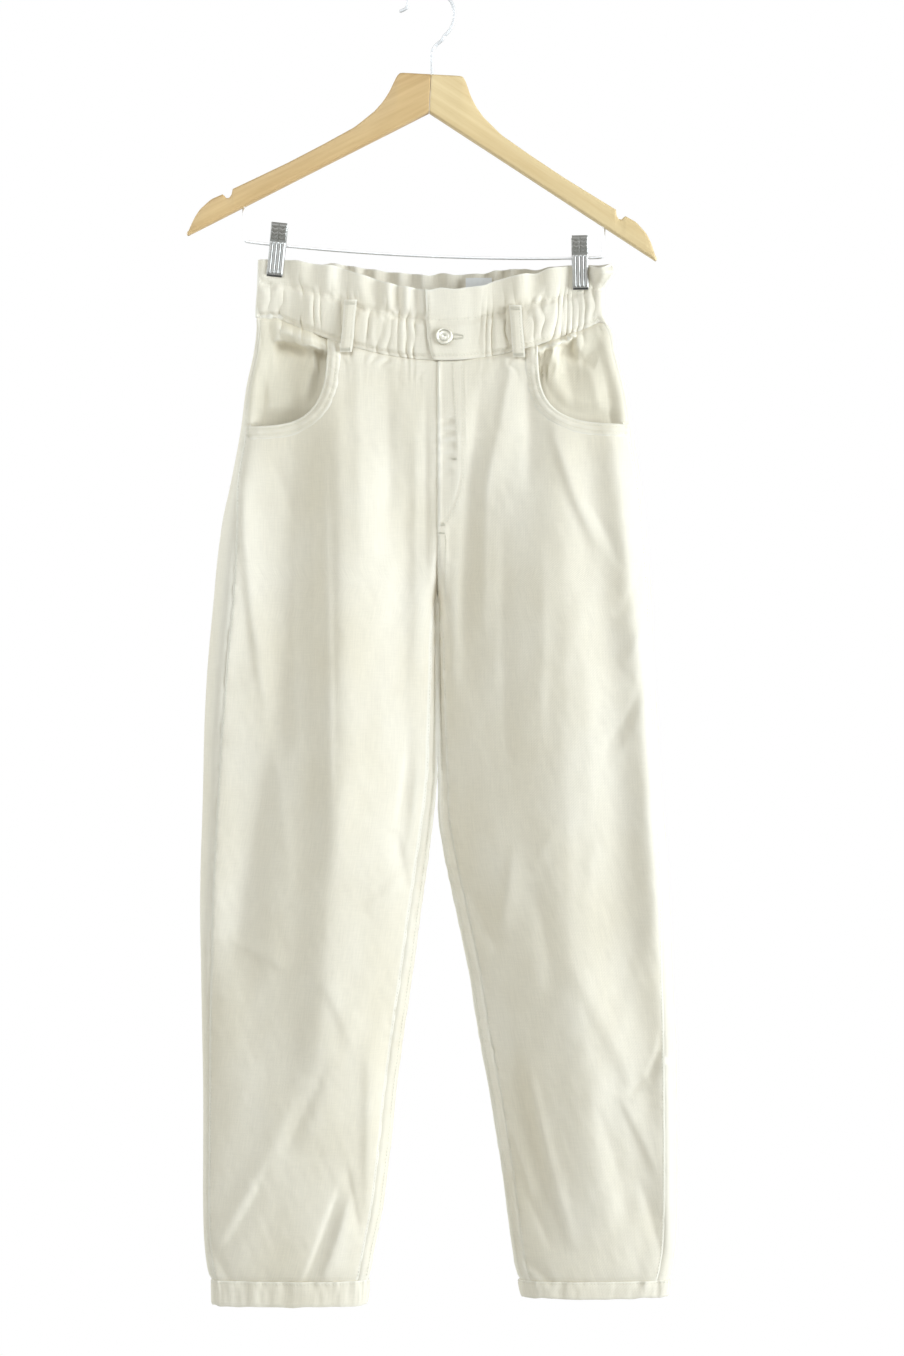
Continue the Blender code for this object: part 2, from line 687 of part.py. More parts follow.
def add_fly(middle, out):
    """The double layer of the fly: a strip on the front beside its inner edge, over its first columns."""
    points = []
    outs = []
    for r in range(MOUTH_ROWS + HIP_ROWS + 1):
        steps = np.linalg.norm(np.diff(middle[r], axis=0), axis=1)
        reach = np.concatenate([[0], np.cumsum(steps)])
        width = min(fly_width(-middle[r, 0, 2]), reach[FLY_COLUMNS])
        stops = np.minimum(reach[: FLY_COLUMNS + 1], width * np.arange(FLY_COLUMNS + 1) / FLY_COLUMNS)
        on_row = np.stack([np.interp(stops, reach, middle[r, :, axis]) for axis in range(3)], axis=-1)
        faced = np.stack([np.interp(stops, reach, out[r, :, axis]) for axis in range(3)], axis=-1)
        points.append(on_row + faced * raised(STRIP_WALL))
        outs.append(faced)
    add_wall("fly", np.array(points), np.array(outs), STRIP_WALL, "denim")


def add_facing(name, side):
    """The denim in the pocket mouth: flush at the waist and side seams, and behind the front elsewhere."""
    top, reach, height = mouth_shape(side, name)
    drops = np.linspace(WAIST_SEAM + SEAM_GAP, MOUTH_DROP[name] + FACING_MARGIN, FACING_GRID[0])
    drop = np.tile(drops[:, None], (1, FACING_GRID[1]))
    inner, outer = inner_and_outer(side, drop)
    span = np.abs(outer - inner)
    low = (top - FACING_MARGIN) / span
    high = 1.0 - (smooth(drop, INSETS, f"{name}_side") + SEAM_GAP) / span
    across = low + (high - low) * np.linspace(0.0, 1.0, FACING_GRID[1])[None, :]
    beside = np.clip((reach - across * span) / (reach - top), 0, None) ** MOUTH_POWER
    below = ((drop - WAIST_SEAM) / height) ** MOUTH_POWER
    cover = ramp((beside + below) ** (1 / MOUTH_POWER), *FACING_COVER)
    middle, out = ring(side, turn_of(across, closing(drop, FRONT_DIVE)), drop)
    middle = middle - out * (FACING_BACK * cover)[..., None]
    add_wall(f"pocket_facing_{name}", middle, out, WALL, "denim_inside")


def add_leg_hem(name, side):
    """The turned hem: a thicker band below the panels, all round the leg."""
    drops = np.array([HEM_TOP, HEM_END[name]])
    turn = np.tile(np.linspace(0, 1, HEM_COLUMNS, endpoint=False), (2, 1))
    drop = np.tile(drops[:, None], (1, HEM_COLUMNS))
    middle, out = ring(side, turn, drop)
    add_wall(f"hem_{name}", middle, out, HEM_WALL, "denim", ring_closed=True)


# ---------------------------------------------------------------- waist


def waist_drops():
    return np.array([FRILL_TOP, 0.270, CASING_TOP, 0.297, WAIST_SEAM - SEAM_GAP])


def half_waist_turns(side, face):
    """Places across one half of the waist, closer together towards the side edge."""
    share = np.linspace(0.0, 1.0, WAIST_COLUMNS + 1)
    across = 0.5 * np.sin(math.pi * share / 2) + 0.5 * share
    turn = np.arcsin(np.clip(across, 0.0, 1.0)) / math.pi
    return turn if face == "front" else 1.0 - turn


def add_waist_front_right():
    """From the side to just past the centre, where it runs under the tab of the other side."""
    drops = waist_drops()
    turns = half_waist_turns(RIGHT, "front")
    turn = np.tile(turns, (len(drops), 1))
    drop = np.tile(drops[:, None], (1, len(turns)))
    turn[:, -1] = back_off(RIGHT, turn[:, -1], drop[:, -1], -1)
    middle, out = ring(RIGHT, turn, drop)
    under_x = np.tile(np.array([TAB_UNDER, (CENTRE + TAB_UNDER) / 2]), (len(drops), 1))
    under_drop = np.tile(drops[:, None], (1, 2))
    under, under_out = trunk_point(under_x, under_drop, "front")
    middle = np.concatenate([under, middle], axis=1)
    out = np.concatenate([under_out, out], axis=1)
    add_wall("waist_front_right", middle, out, WALL, "denim")


def add_waist_front_left():
    """From the edge of the tab, which lies over the other side, to the side seam."""
    drops = waist_drops()
    edge = np.interp(drops, [row[0] * MM for row in TAB_EDGE], [row[1] * MM for row in TAB_EDGE])
    tab_share = np.linspace(0.0, 1.0, TAB_COLUMNS)[None, :]
    tab_x = edge[:, None] + (TAB_END - edge[:, None]) * tab_share
    turns = half_waist_turns(LEFT, "front")
    inner, outer = inner_and_outer(np.array([LEFT]), np.array([CASING_TOP]))
    across = inner + (outer - inner) * np.sin(math.pi * turns)
    rest = turns[across > TAB_END + TAB_JOIN]
    rest_turn = np.tile(rest, (len(drops), 1))
    rest_drop = np.tile(drops[:, None], (1, len(rest)))
    rest_turn[:, -1] = back_off(LEFT, rest_turn[:, -1], rest_drop[:, -1], -1)
    tab, tab_out = trunk_point(tab_x, np.tile(drops[:, None], (1, TAB_COLUMNS)), "front")
    raise_by = TAB_RAISE * (1 - ramp(tab_x, TAB_FLAT, TAB_END))
    tab = tab + tab_out * raise_by[..., None]
    rest_middle, rest_out = ring(LEFT, rest_turn, rest_drop)
    middle = np.concatenate([tab, rest_middle], axis=1)
    out = np.concatenate([tab_out, rest_out], axis=1)
    add_wall("waist_front_left", middle, out, WALL, "denim")


def add_waist_back():
    drops = waist_drops()
    right = half_waist_turns(RIGHT, "back")[::-1]
    left = half_waist_turns(LEFT, "back")
    turn = np.tile(np.concatenate([right, left[1:]]), (len(drops), 1))
    side = np.tile(np.repeat([RIGHT, LEFT], [len(right), len(left) - 1]), (len(drops), 1))
    drop = np.tile(drops[:, None], (1, turn.shape[1]))
    turn[:, 0] = back_off(RIGHT, turn[:, 0], drop[:, 0], 1)
    turn[:, -1] = back_off(LEFT, turn[:, -1], drop[:, -1], 1)
    middle, out = ring(side, turn, drop)
    add_wall("waist_back", middle, out, WALL, "denim")


def add_belt_loop(name, face, top_x, end_x):
    """A strip over the casing that stands a little off the cloth between its two sewn ends."""
    share = np.linspace(0.0, 1.0, 6)[:, None]
    middle_x = top_x + (end_x - top_x) * share
    x = middle_x + LOOP_WIDTH * np.array([-0.5, 0.5])[None, :]
    drop = LOOP_TOP + (LOOP_END - LOOP_TOP) * share
    under_x = middle_x + LOOP_WIDTH * np.linspace(-0.7, 0.7, 7)[None, :]
    under, _ = trunk_point(under_x, drop, face)
    surface, _ = trunk_point(middle_x, drop, face)
    facing = -1.0 if face == "front" else 1.0
    level = np.max(facing * under[..., 1], axis=1, keepdims=True)
    stand_off = WALL / 2 + LOOP_WALL / 2 + LOOP_CLEAR + LOOP_BOW * np.sin(math.pi * share)
    flat = np.zeros_like(x)
    points = np.stack([x, facing * (level + stand_off) + flat, surface[..., 2] + flat], axis=-1)
    out = np.tile(np.array([0.0, facing, 0.0]), points.shape[:2] + (1,))
    add_wall(name, points, out, LOOP_WALL, "denim")


def add_label():
    """A bare label sewn inside the back of the waist."""
    x = np.tile(np.linspace(*LABEL_X, 3)[None, :], (3, 1))
    drop = np.tile(np.linspace(*LABEL_DROP, 3)[:, None], (1, 3))
    surface, _ = trunk_point(x, drop, "back")
    inward = surface[..., 1].min() - WALL / 2 - LABEL_OFF - LABEL_WALL / 2
    points = np.stack([x, np.full_like(x, inward), surface[..., 2]], axis=-1)
    out = np.tile(np.array([0.0, -1.0, 0.0]), points.shape[:2] + (1,))
    add_wall("back_label", points, out, LABEL_WALL, "label")


def add_turned(name, profile, steps, place, material_name):
    """A solid turned about its own axis from (radius, height) points that start and end on the axis."""
    bm = bmesh.new()
    rows = []
    for radius, height in profile:
        if radius < 1e-6:
            rows.append([bm.verts.new((0.0, 0.0, height))])
            continue
        angles = [2 * math.pi * k / steps for k in range(steps)]
        rows.append([bm.verts.new((radius * math.cos(a), radius * math.sin(a), height)) for a in angles])
    for low, high in zip(rows, rows[1:]):
        for k in range(steps):
            nxt = (k + 1) % steps
            corners = [low[k % len(low)], low[nxt % len(low)], high[nxt % len(high)], high[k % len(high)]]
            bm.faces.new(list(dict.fromkeys(corners)))
    made = add_object(name, bm, material_name, round_angle=30)
    made.matrix_world = place
    return made


def add_button():
    """A ring-shaped jeans button with a dished middle, on the tab."""
    nominal = BUTTON_DROP - BUTTON_SAG
    point, _ = trunk_point(np.array([BUTTON_X]), np.array([nominal]), "front")
    near_x = BUTTON_X + BUTTON_RADIUS * np.array([-1.0, 0.0, 1.0])
    near, _ = trunk_point(near_x, np.full(3, nominal), "front")
    front = near[:, 1].min() - TAB_RAISE - WALL / 2 - ON_TOP
    radius = BUTTON_RADIUS
    profile = (
        (0.0, 0.0), (radius * 0.86, 0.0), (radius, 0.0010), (radius * 0.97, 0.0022),
        (radius * 0.80, 0.0030), (radius * 0.62, 0.0024), (radius * 0.50, 0.0014),
        (radius * 0.18, 0.0014), (0.0, 0.0018),
    )
    place = Matrix.Translation((BUTTON_X, front, -BUTTON_DROP)) @ Matrix.Rotation(math.pi / 2, 4, "X")
    add_turned("button", profile, 18, place, "button_metal")


# ---------------------------------------------------------------- hanger


def hanger_frame():
    return Matrix.Translation(HEAD_AT) @ Matrix.Rotation(HANGER_TILT, 4, "Y")


def wood_section(along, top, thickness):
    """One section of the wood: a rectangle with rounded corners, as (across, drop) pairs."""
    bottom = WOOD_UNDERSIDE + WOOD_SLOPE * along
    half = thickness / 2
    edge = min(WOOD_EDGE, (bottom - top) * 0.3)
    return [
        (-half + edge, top), (half - edge, top), (half, top + edge), (half, bottom - edge),
        (half - edge, bottom), (-half + edge, bottom), (-half, bottom - edge), (-half, top + edge),
    ]


def cut_hole(wood, name, start, end, radius):
    """A round hole from start to end, cut by a hidden cylinder."""
    direction = end - start
    bm = bmesh.new()
    bmesh.ops.create_cone(
        bm, cap_ends=True, segments=12, radius1=radius, radius2=radius, depth=direction.length
    )
    mesh = bpy.data.meshes.new(name)
    bm.to_mesh(mesh)
    bm.free()
    cutter = bpy.data.objects.new(name, mesh)
    bpy.context.scene.collection.objects.link(cutter)
    turn = direction.to_track_quat("Z", "Y").to_matrix().to_4x4()
    cutter.matrix_world = Matrix.Translation((start + end) / 2) @ turn
    cutter.hide_render = True
    cutter.display_type = "WIRE"
    cut = wood.modifiers.new(name, "BOOLEAN")
    cut.operation = "DIFFERENCE"
    cut.solver = "EXACT"
    cut.object = cutter


def add_hanger_wood(name, side):
    """One shoulder of the hanger, lofted from its tip to the joint in the middle of the head."""
    bm = bmesh.new()
    rows = []
    for along, top, thickness in zip(WOOD["along"], WOOD["top"], WOOD["thickness"]):
        section = wood_section(along, top, thickness)
        rows.append([bm.verts.new((side * along, y, -drop)) for y, drop in section])
    for low, high in zip(rows, rows[1:]):
        for k in range(8):
            nxt = (k + 1) % 8
            bm.faces.new([low[k], low[nxt], high[nxt], high[k]])
    bm.faces.new(rows[0])
    bm.faces.new(rows[-1])
    shade = "beech_dark" if name == "right" else "beech_light"
    wood = add_object(f"hanger_wood_{name}", bm, shade, round_angle=50)
    wood.matrix_world = hanger_frame()
    stem_top = stem_point(0.004)
    cut_hole(wood, f"stem_hole_{name}", stem_top, stem_point(-STEM_DEPTH), WIRE + HOLE_CLEARANCE)
    end = Vector((BAR_ENDS[0 if name == "right" else 1][0] * MM, 0, -bar_end_drop(name)))
    below = end + Vector((0, 0, -0.030))
    above = end + Vector((0, 0, HOLE_CLEARANCE))
    cut_hole(wood, f"bar_hole_{name}", below, above, BAR_WIRE + HOLE_CLEARANCE)


def bar_end_drop(name):
    return BAR_ENDS[0 if name == "right" else 1][1] * MM


def stem_point(above):
    """A point of the stem's axis, the given height above the top of the head."""
    return hanger_frame() @ Vector((STEM_X, 0, 0)) + Vector((0, 0, above))


def add_tube(name, points, radius, sides, material_name):
    """A round wire along a list of points."""
    curve = bpy.data.curves.new(name, "CURVE")
    curve.dimensions = "3D"
    curve.bevel_depth = radius
    curve.bevel_resolution = max(0, (sides - 4) // 2)
    curve.use_fill_caps = True
    spline = curve.splines.new("POLY")
    spline.points.add(len(points) - 1)
    for target, point in zip(spline.points, points):
        target.co = (*point, 1.0)
    curve.materials.append(material(material_name))
    made = bpy.data.objects.new(name, curve)
    bpy.context.scene.collection.objects.link(made)
    return made


def rounded_path(points, passes=2):
    """Corners cut off twice, so that a few hand-set points give a soft bend."""
    for _ in range(passes):
        cut = [points[0]]
        for a, b in zip(points, points[1:]):
            cut += [a.lerp(b, 0.25), a.lerp(b, 0.75)]
        points = cut + [points[-1]]
    return points


def add_hook():
    centre_drop = BOW_RADIUS - WIRE
    bow = []
    for k in range(15):
        angle = math.radians(BOW_START + (BOW_END - BOW_START) * k / 14)
        x = BOW_RADIUS * math.cos(angle)
        bow.append(Vector((x, 0, BOW_RADIUS * math.sin(angle) - centre_drop)))
    kink = [Vector((x * MM, 0, z * MM)) for x, z in reversed(KINK)]
    tip = [Vector((x * MM, 0, z * MM)) for x, z in HOOK_TIP]
    foot = stem_point(-STEM_DEPTH + HOLE_CLEARANCE)
    straight = Vector((foot.x, 0, -0.0600))
    route = [foot, straight] + rounded_path(kink, 1) + bow + rounded_path(tip, 1)
    add_tube("hanger_hook", route, WIRE, 8, "hook_chrome")


def bar_height(x):
    """Z of the trouser bar between its corners, where the weight bends it down."""
    (x0, drop0), (x1, drop1) = [(a * MM, b * MM) for a, b in BAR_CORNERS]
    share = (x - x0) / (x1 - x0)
    return -(drop0 + (drop1 - drop0) * share + BAR_SAG * math.sin(math.pi * share) ** 0.8)


def add_bar():
    (x0, _), (x1, _) = [(a * MM, b * MM) for a, b in BAR_CORNERS]
    ends = [Vector((x * MM, 0, -drop * MM)) for x, drop in BAR_ENDS]
    turn = BAR_CORNER_RADIUS
    level = [Vector((x, 0, bar_height(x))) for x in np.linspace(x0 + turn, x1 - turn, 15)]
    corners = [Vector((x, 0, bar_height(x))) for x in (x0, x1)]
    first = rounded_path([corners[0] + Vector((0, 0, turn)), corners[0], level[0]])
    last = rounded_path([level[-1], corners[1], corners[1] + Vector((0, 0, turn))])
    route = [ends[0]] + first + level[1:-1] + last + [ends[1]]
    add_tube("hanger_bar", route, BAR_WIRE, 8, "hook_chrome")


def clip_frame(name):
    """The clip's own frame: on the bar, square to it."""
    x = CLIP_X[name]
    slope = (bar_height(x + 0.005) - bar_height(x - 0.005)) / 0.010
    return Matrix.Translation((x, 0, bar_height(x))) @ Matrix.Rotation(-math.atan(slope), 4, "Y")


def add_plate(name, profile, width, place, material_name, wall):
    """A plate bent along a profile of (y, z) points."""
    points = np.array([[(x, y, z) for x in (-width / 2, width / 2)] for y, z in profile])
    run = np.gradient(np.array(profile), axis=0)
    out = np.stack([np.zeros(len(run)), run[:, 1], -run[:, 0]], axis=-1)
    out /= np.linalg.norm(out, axis=-1, keepdims=True)
    outs = np.repeat(out[:, None, :], 2, axis=1)
    made = add_wall(name, points, outs, wall, material_name)
    made.matrix_world = place
    return made


def add_clip(name):
    place = clip_frame(name)
    for face, way in (("front", -1.0), ("back", 1.0)):
        jaw = (
            (way * JAW_OPEN, JAW_ABOVE),
            (way * (JAW_OPEN + JAW_HOLD) / 2, JAW_ABOVE * 0.45),
            (way * JAW_HOLD, 0.002),
            (way * JAW_HOLD, -JAW_BELOW * 0.5),
            (way * (JAW_HOLD + 0.0004), -JAW_BELOW),
        )
        add_plate(f"clip_{name}_{face}_jaw", jaw, JAW_WIDTH, place, "clip_steel", JAW_WALL)
        pad = tuple((way * PAD_AT, -JAW_BELOW + z) for z in (0.0004, PAD_HEIGHT / 2, PAD_HEIGHT))
        add_plate(f"clip_{name}_{face}_pad", pad, JAW_WIDTH - 0.001, place, "clip_rubber", PAD_WALL)
    add_spring(name, place)


def add_spring(name, place):
    """The spring's sleeve round the bar, between the jaws."""
    steps = 14
    bm = bmesh.new()
    loops = []
    bore = BAR_WIRE + HOLE_CLEARANCE
    shell = ((bore, -1), (SPRING_RADIUS, -1), (SPRING_RADIUS, 1), (bore, 1))
    for radius, end in shell:
        x = end * SPRING_LENGTH / 2
        turns = [2 * math.pi * k / steps for k in range(steps)]
        loops.append([bm.verts.new((x, radius * math.cos(a), radius * math.sin(a))) for a in turns])
    for low, high in zip(loops, loops[1:] + loops[:1]):
        for k in range(steps):
            nxt = (k + 1) % steps
            bm.faces.new([low[k], low[nxt], high[nxt], high[k]])
    spring = add_object(f"clip_{name}_spring", bm, "clip_steel")
    spring.matrix_world = place


def build():
    clear_scene()
    for name, side in SIDES.items():
        add_panels(name, side)
        add_facing(name, side)
        add_leg_hem(name, side)
        add_hanger_wood(name, side)
        add_clip(name)
    add_waist_front_right()
    add_waist_front_left()
    add_waist_back()
    for loop in LOOPS:
        add_belt_loop(*loop)
    add_label()
    add_button()
    add_hook()
    add_bar()


build()
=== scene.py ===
"""Looks of the cream paperbag-waist jeans and their wooden clip hanger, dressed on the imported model.

Metres, in the model's own frame: the origin is the inside top of the hook, +Z is up, the front of the
jeans faces -Y and the wearer's left is +X. Tables are in millimetres; "drop" is the distance below the
hook's seat. Each half of the garment is one ring of cloth: q runs from 0 at the front's inner edge over
0.5 at the side edge to 1 at the back's inner edge.
"""

import math

import bpy
import numpy as np
from mathutils import Matrix, Vector


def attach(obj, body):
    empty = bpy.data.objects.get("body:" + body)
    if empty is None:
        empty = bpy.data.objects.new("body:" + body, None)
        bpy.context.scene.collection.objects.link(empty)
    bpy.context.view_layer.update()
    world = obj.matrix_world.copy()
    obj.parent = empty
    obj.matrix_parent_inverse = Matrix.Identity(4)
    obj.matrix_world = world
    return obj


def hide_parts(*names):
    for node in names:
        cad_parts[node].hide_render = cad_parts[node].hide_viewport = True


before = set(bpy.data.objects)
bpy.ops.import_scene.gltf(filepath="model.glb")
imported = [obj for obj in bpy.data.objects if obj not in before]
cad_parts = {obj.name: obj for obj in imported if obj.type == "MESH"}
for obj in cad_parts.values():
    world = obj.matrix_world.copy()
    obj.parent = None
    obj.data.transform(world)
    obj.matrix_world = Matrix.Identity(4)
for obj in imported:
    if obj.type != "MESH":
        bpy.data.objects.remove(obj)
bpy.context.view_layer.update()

MM = 0.001
RIGHT = -1.0
LEFT = 1.0
SIDES = {"right": RIGHT, "left": LEFT}
BODY = "root"


def table(columns, rows):
    """The named columns of a table in millimetres, in metres."""
    values = np.array(rows, dtype=float) * MM
    return {name: values[:, i] for i, name in enumerate(columns.split())}


# Cloth
WALL = 0.0014
HEM_WALL = 0.0022
STRIP_WALL = 0.0010
LEGS_APART = 0.0005
TOUCHING = 0.755
TOUCH_FADE = (0.600, 0.650)
APART_RISE = 0.10
SIDE_ROUNDNESS = 0.4
SIDE_POWER = (2.0, 3.0)
SIDE_POWER_FADE = (0.45, 0.85)
INNER_ROUND = (0.10, 0.36)
INNER_ROUND_END = 0.95
FRONT_DIVE = 3.2
BACK_DIVE = 2.4
HALVINGS = 30
FACING_STEP = 0.004

# Heights of the garment's lines, as drops below the hook's seat
FRILL_TOP = 0.260
FRILL_SEAM = 0.2825
WAIST_SEAM = 0.314
FLY_END = 0.515
CROTCH = 0.583
HEM_TOP = 1.231
HEM_END = {"right": 1.255, "left": 1.247}
CENTRE = 0.009

SECTIONS = table("drop right_side right_inner left_inner left_side front_depth back_depth", (
    (255, -161.0, 9.0, 9.0, 170.0, 9.0, 10.0),
    (285, -162.0, 9.0, 9.0, 166.5, 10.0, 12.0),
    (314, -163.5, 9.0, 9.0, 169.0, 12.0, 15.0),
    (322, -163.0, 9.0, 9.0, 174.0, 13.0, 16.5),
    (344, -165.0, 9.0, 9.0, 179.0, 16.0, 21.0),
    (382, -173.0, 9.0, 9.0, 189.0, 21.0, 28.0),
    (420, -178.0, 9.0, 9.0, 195.0, 25.0, 34.0),
    (458, -185.0, 9.0, 9.0, 201.0, 28.0, 38.0),
    (482, -190.0, 9.0, 9.0, 204.5, 29.5, 39.5),
    (497, -193.5, 9.0, 9.0, 206.0, 30.0, 40.0),
    (540, -200.0, 9.0, 9.0, 210.0, 31.0, 39.0),
    (583, -204.0, 9.0, 9.0, 213.0, 31.0, 37.0),
    (649, -210.0, 9.0, 9.0, 215.0, 30.0, 35.0),
    (707, -213.0, 9.0, 9.0, 219.5, 29.0, 33.0),
    (757, -214.0, 8.1, 9.9, 222.0, 28.5, 31.0),
    (793, -215.0, 4.6, 10.4, 225.0, 28.0, 30.0),
    (821, -216.0, 1.1, 14.9, 227.5, 27.5, 29.0),
    (879, -217.0, -6.9, 26.9, 231.0, 26.5, 28.0),
    (936, -216.0, -14.4, 38.9, 233.0, 26.0, 27.0),
    (993, -215.0, -22.9, 47.9, 236.0, 25.0, 26.0),
    (1050, -214.0, -30.4, 58.4, 237.0, 24.0, 25.0),
    (1108, -214.0, -36.4, 67.9, 237.5, 23.0, 24.0),
    (1165, -214.0, -43.9, 75.9, 237.0, 22.0, 23.0),
    (1200, -212.5, -50.9, 80.4, 235.5, 21.0, 22.0),
    (1222, -209.5, -54.9, 84.4, 232.0, 19.0, 20.0),
    (1233, -206.5, -56.9, 87.9, 229.5, 16.0, 17.0),
    (1260, -205.5, -59.9, 90.9, 227.5, 16.5, 17.5),
))

# How far the cloth sags between the clips, and how far the waist tips towards the wearer's left
SAGS = table("drop front_sag back_sag spread tip", (
    (260, 27.0, 10.0, 1.00, 2.3),
    (280, 33.0, 14.0, 0.70, 2.3),
    (314, 39.0, 20.0, 0.45, 2.3),
    (344, 31.0, 17.0, 0.50, 2.0),
    (382, 19.0, 11.0, 0.60, 1.2),
    (420, 9.0, 6.0, 0.80, 0.5),
    (480, 0.0, 0.0, 1.00, 0.0),
))
SAG_REACH = 0.152

# The side seam and the inseam lie inside the outline, on the front
INSETS = table("drop right_side left_side inseam", (
    (314, 3.0, 3.0, 0.0),
    (420, 5.0, 4.0, 0.0),
    (478, 8.0, 3.5, 0.0),
    (505, 14.0, 3.5, 0.0),
    (583, 19.0, 3.5, 0.0),
    (600, 19.0, 3.5, 3.0),
    (649, 19.0, 4.0, 5.0),
    (757, 15.0, 6.0, 8.0),
    (870, 12.0, 9.0, 9.5),
    (1000, 7.0, 12.0, 9.5),
    (1231, 5.0, 12.0, 9.0),
))

# Creases: x and drop of both ends, bend, width, height and lean. A height above 0 is a ridge, one below
# is a trough, and a lean near 1 or -1 makes one flank steep.
FRONT_FOLDS = (
    # the broad folds that the cloth hangs in
    (-84, 350, -84, 860, 0, 25, 10.5, 0.2),
    (-86, 720, -112, 1110, 2, 28, 8.5, 0.1),
    (-124, 400, -138, 740, 0, 17, -7.5, 0.0),
    (-136, 640, -190, 960, 0, 20, -7.5, 0.0),
    (-174, 390, -200, 720, 0, 22, 13.0, 0.0),
    (-198, 660, -206, 920, 0, 20, 7.0, 0.0),
    (-20, 430, -22, 860, 0, 24, -8.0, 0.0),
    (128, 400, 134, 1010, 0, 36, 9.0, -0.1),
    (134, 900, 180, 1230, 0, 36, 6.5, 0.0),
    (18, 430, 42, 920, 0, 44, -15.0, 0.0),
    (44, 840, 104, 1228, 0, 42, -9.5, 0.0),
    (172, 390, 202, 660, 0, 20, 12.0, 0.0),
    (200, 590, 222, 990, 0, 20, 14.0, 0.0),
    (224, 940, 230, 1225, 0, 18, 10.0, 0.0),
)
FRONT_CREASES = (
    # wearer's right leg, from the waist down
    (-70, 330, -64, 560, 4, 13, 2.6, 0.3),
    (-40, 345, -38, 540, 2, 9, -2.2, 0.0),
    (-12, 405, -13, 590, 1, 5, 1.3, -0.3),
    (-2, 380, -1, 575, 0, 3, -1.3, 0.0),
    (-112, 395, -112, 800, 3, 9, -2.6, -0.3),
    (-93, 440, -86, 800, 2, 6, -2.2, 0.4),
    (-125, 470, -124, 740, -3, 8, 2.0, -0.3),
    (-177, 435, -150, 700, -5, 9, 4.2, 0.4),
    (-148, 448, -124, 515, 2, 8, -2.4, 0.2),
    (-165, 640, -130, 860, 4, 12, 2.4, -0.2),
    (-17, 705, -30, 800, 2, 5, -2.4, 0.4),
    (-30, 800, -18, 860, -1, 5, -2.0, -0.3),
    (-8, 730, -20, 830, 1, 6, 2.2, 0.3),
    (-60, 880, -20, 840, 0, 8, 1.6, -0.3),
    (-180, 840, -150, 1060, 0, 30, -4.6, 0.2),
    (-190, 905, -130, 935, 2, 8, 1.8, 0.4),
    (-118, 1030, -200, 1200, 6, 16, 4.0, 0.3),
    (-95, 1015, -140, 1110, 3, 9, -2.8, -0.2),
    (-150, 1120, -205, 1215, 3, 7, -2.4, 0.3),
    (-81, 1135, -119, 1238, 1, 6, -3.2, 0.5),
    (-70, 1140, -102, 1236, 1, 7, 3.2, 0.3),
    (-78, 1118, -66, 1182, 0, 5, -2.4, -0.3),
    (-55, 1000, -57, 1180, 0, 9, 3.4, 0.3),
    (-36, 960, -47, 1120, 1, 6, -1.6, 0.0),
    (-212, 1192, -186, 1234, 0, 6, -2.6, 0.2),
    (-100, 940, -70, 1010, 3, 10, 2.2, 0.3),
    # wearer's left leg
    (52, 375, 34, 680, -5, 11, -6.0, 0.3),
    (60, 395, 54, 640, -3, 7, 2.0, -0.2),
    (82, 335, 50, 500, 3, 9, 3.4, 0.35),
    (95, 362, 95, 480, 2, 9, -3.6, 0.2),
    (72, 500, 76, 760, -2, 8, -2.0, 0.3),
    (108, 520, 104, 740, 2, 9, 1.6, -0.3),
    (116, 408, 166, 540, -4, 10, 4.4, 0.4),
    (140, 470, 186, 560, 3, 8, -2.2, 0.2),
    (142, 570, 150, 930, 9, 15, 2.4, 0.25),
    (138, 930, 205, 1070, 4, 15, 3.6, 0.35),
    (205, 655, 164, 728, 5, 6, -1.5, 0.3),
    (207, 668, 172, 742, 5, 7, 1.2, 0.2),
    (207, 545, 180, 600, 2, 6, -1.6, 0.2),
    (209, 590, 184, 650, 2, 6, 1.4, 0.2),
    (82, 812, 68, 905, 1, 7, 3.0, 0.3),
    (120, 796, 98, 840, 1, 7, 1.2, 0.2),
    (38, 858, 68, 922, 1, 7, -3.2, 0.3),
    (100, 850, 120, 960, 2, 12, -3.0, 0.2),
    (222, 995, 205, 1040, 3, 5, -2.2, 0.4),
    (206, 1036, 190, 1052, 0, 5, -1.8, -0.3),
    (226, 1010, 212, 1052, 2, 7, 1.6, 0.2),
    (178, 1046, 218, 1128, 3, 9, 3.4, 0.4),
    (160, 1060, 192, 1180, 2, 11, -3.0, 0.0),
    (78, 985, 130, 1205, -4, 9, -3.6, -0.4),
    (90, 1000, 140, 1200, -3, 8, 2.8, -0.2),
    (75, 1075, 102, 1155, 1, 5, 2.2, 0.2),
    (92, 1145, 118, 1202, 1, 5, -2.0, 0.2),
    (88, 1208, 120, 1236, 1, 5, -2.4, 0.3),
    (200, 1130, 226, 1225, 2, 8, -2.6, 0.2),
    # puckers of the fly between its edge and its stitching
    (10, 417, 26, 414, 1, 3, -3.0, 0.0),
    (10, 428, 27, 425, 1, 3, -3.2, 0.1),
    (10, 440, 27, 437, 1, 3, -2.8, 0.0),
    (10, 451, 26, 449, 1, 3, -2.4, 0.1),
    (10, 466, 25, 462, 1, 3, -1.6, 0.0),
)
BACK_FOLDS = (
    (-104, 350, -108, 900, -4, 30, -6.0, 0.1),
    (-60, 420, -70, 960, 3, 24, 5.0, 0.1),
    (-165, 560, -150, 1000, 4, 26, 5.0, 0.0),
    (-150, 920, -110, 1220, 3, 26, -5.0, 0.0),
    (72, 350, 66, 640, -3, 24, -5.0, 0.1),
    (124, 420, 140, 1010, 5, 32, 6.5, 0.0),
    (60, 600, 78, 1100, 3, 28, -4.5, 0.0),
    (200, 640, 190, 1120, -4, 24, -4.5, 0.0),
    (9, 400, 9, 560, 0, 24, -5.0, 0.0),
)
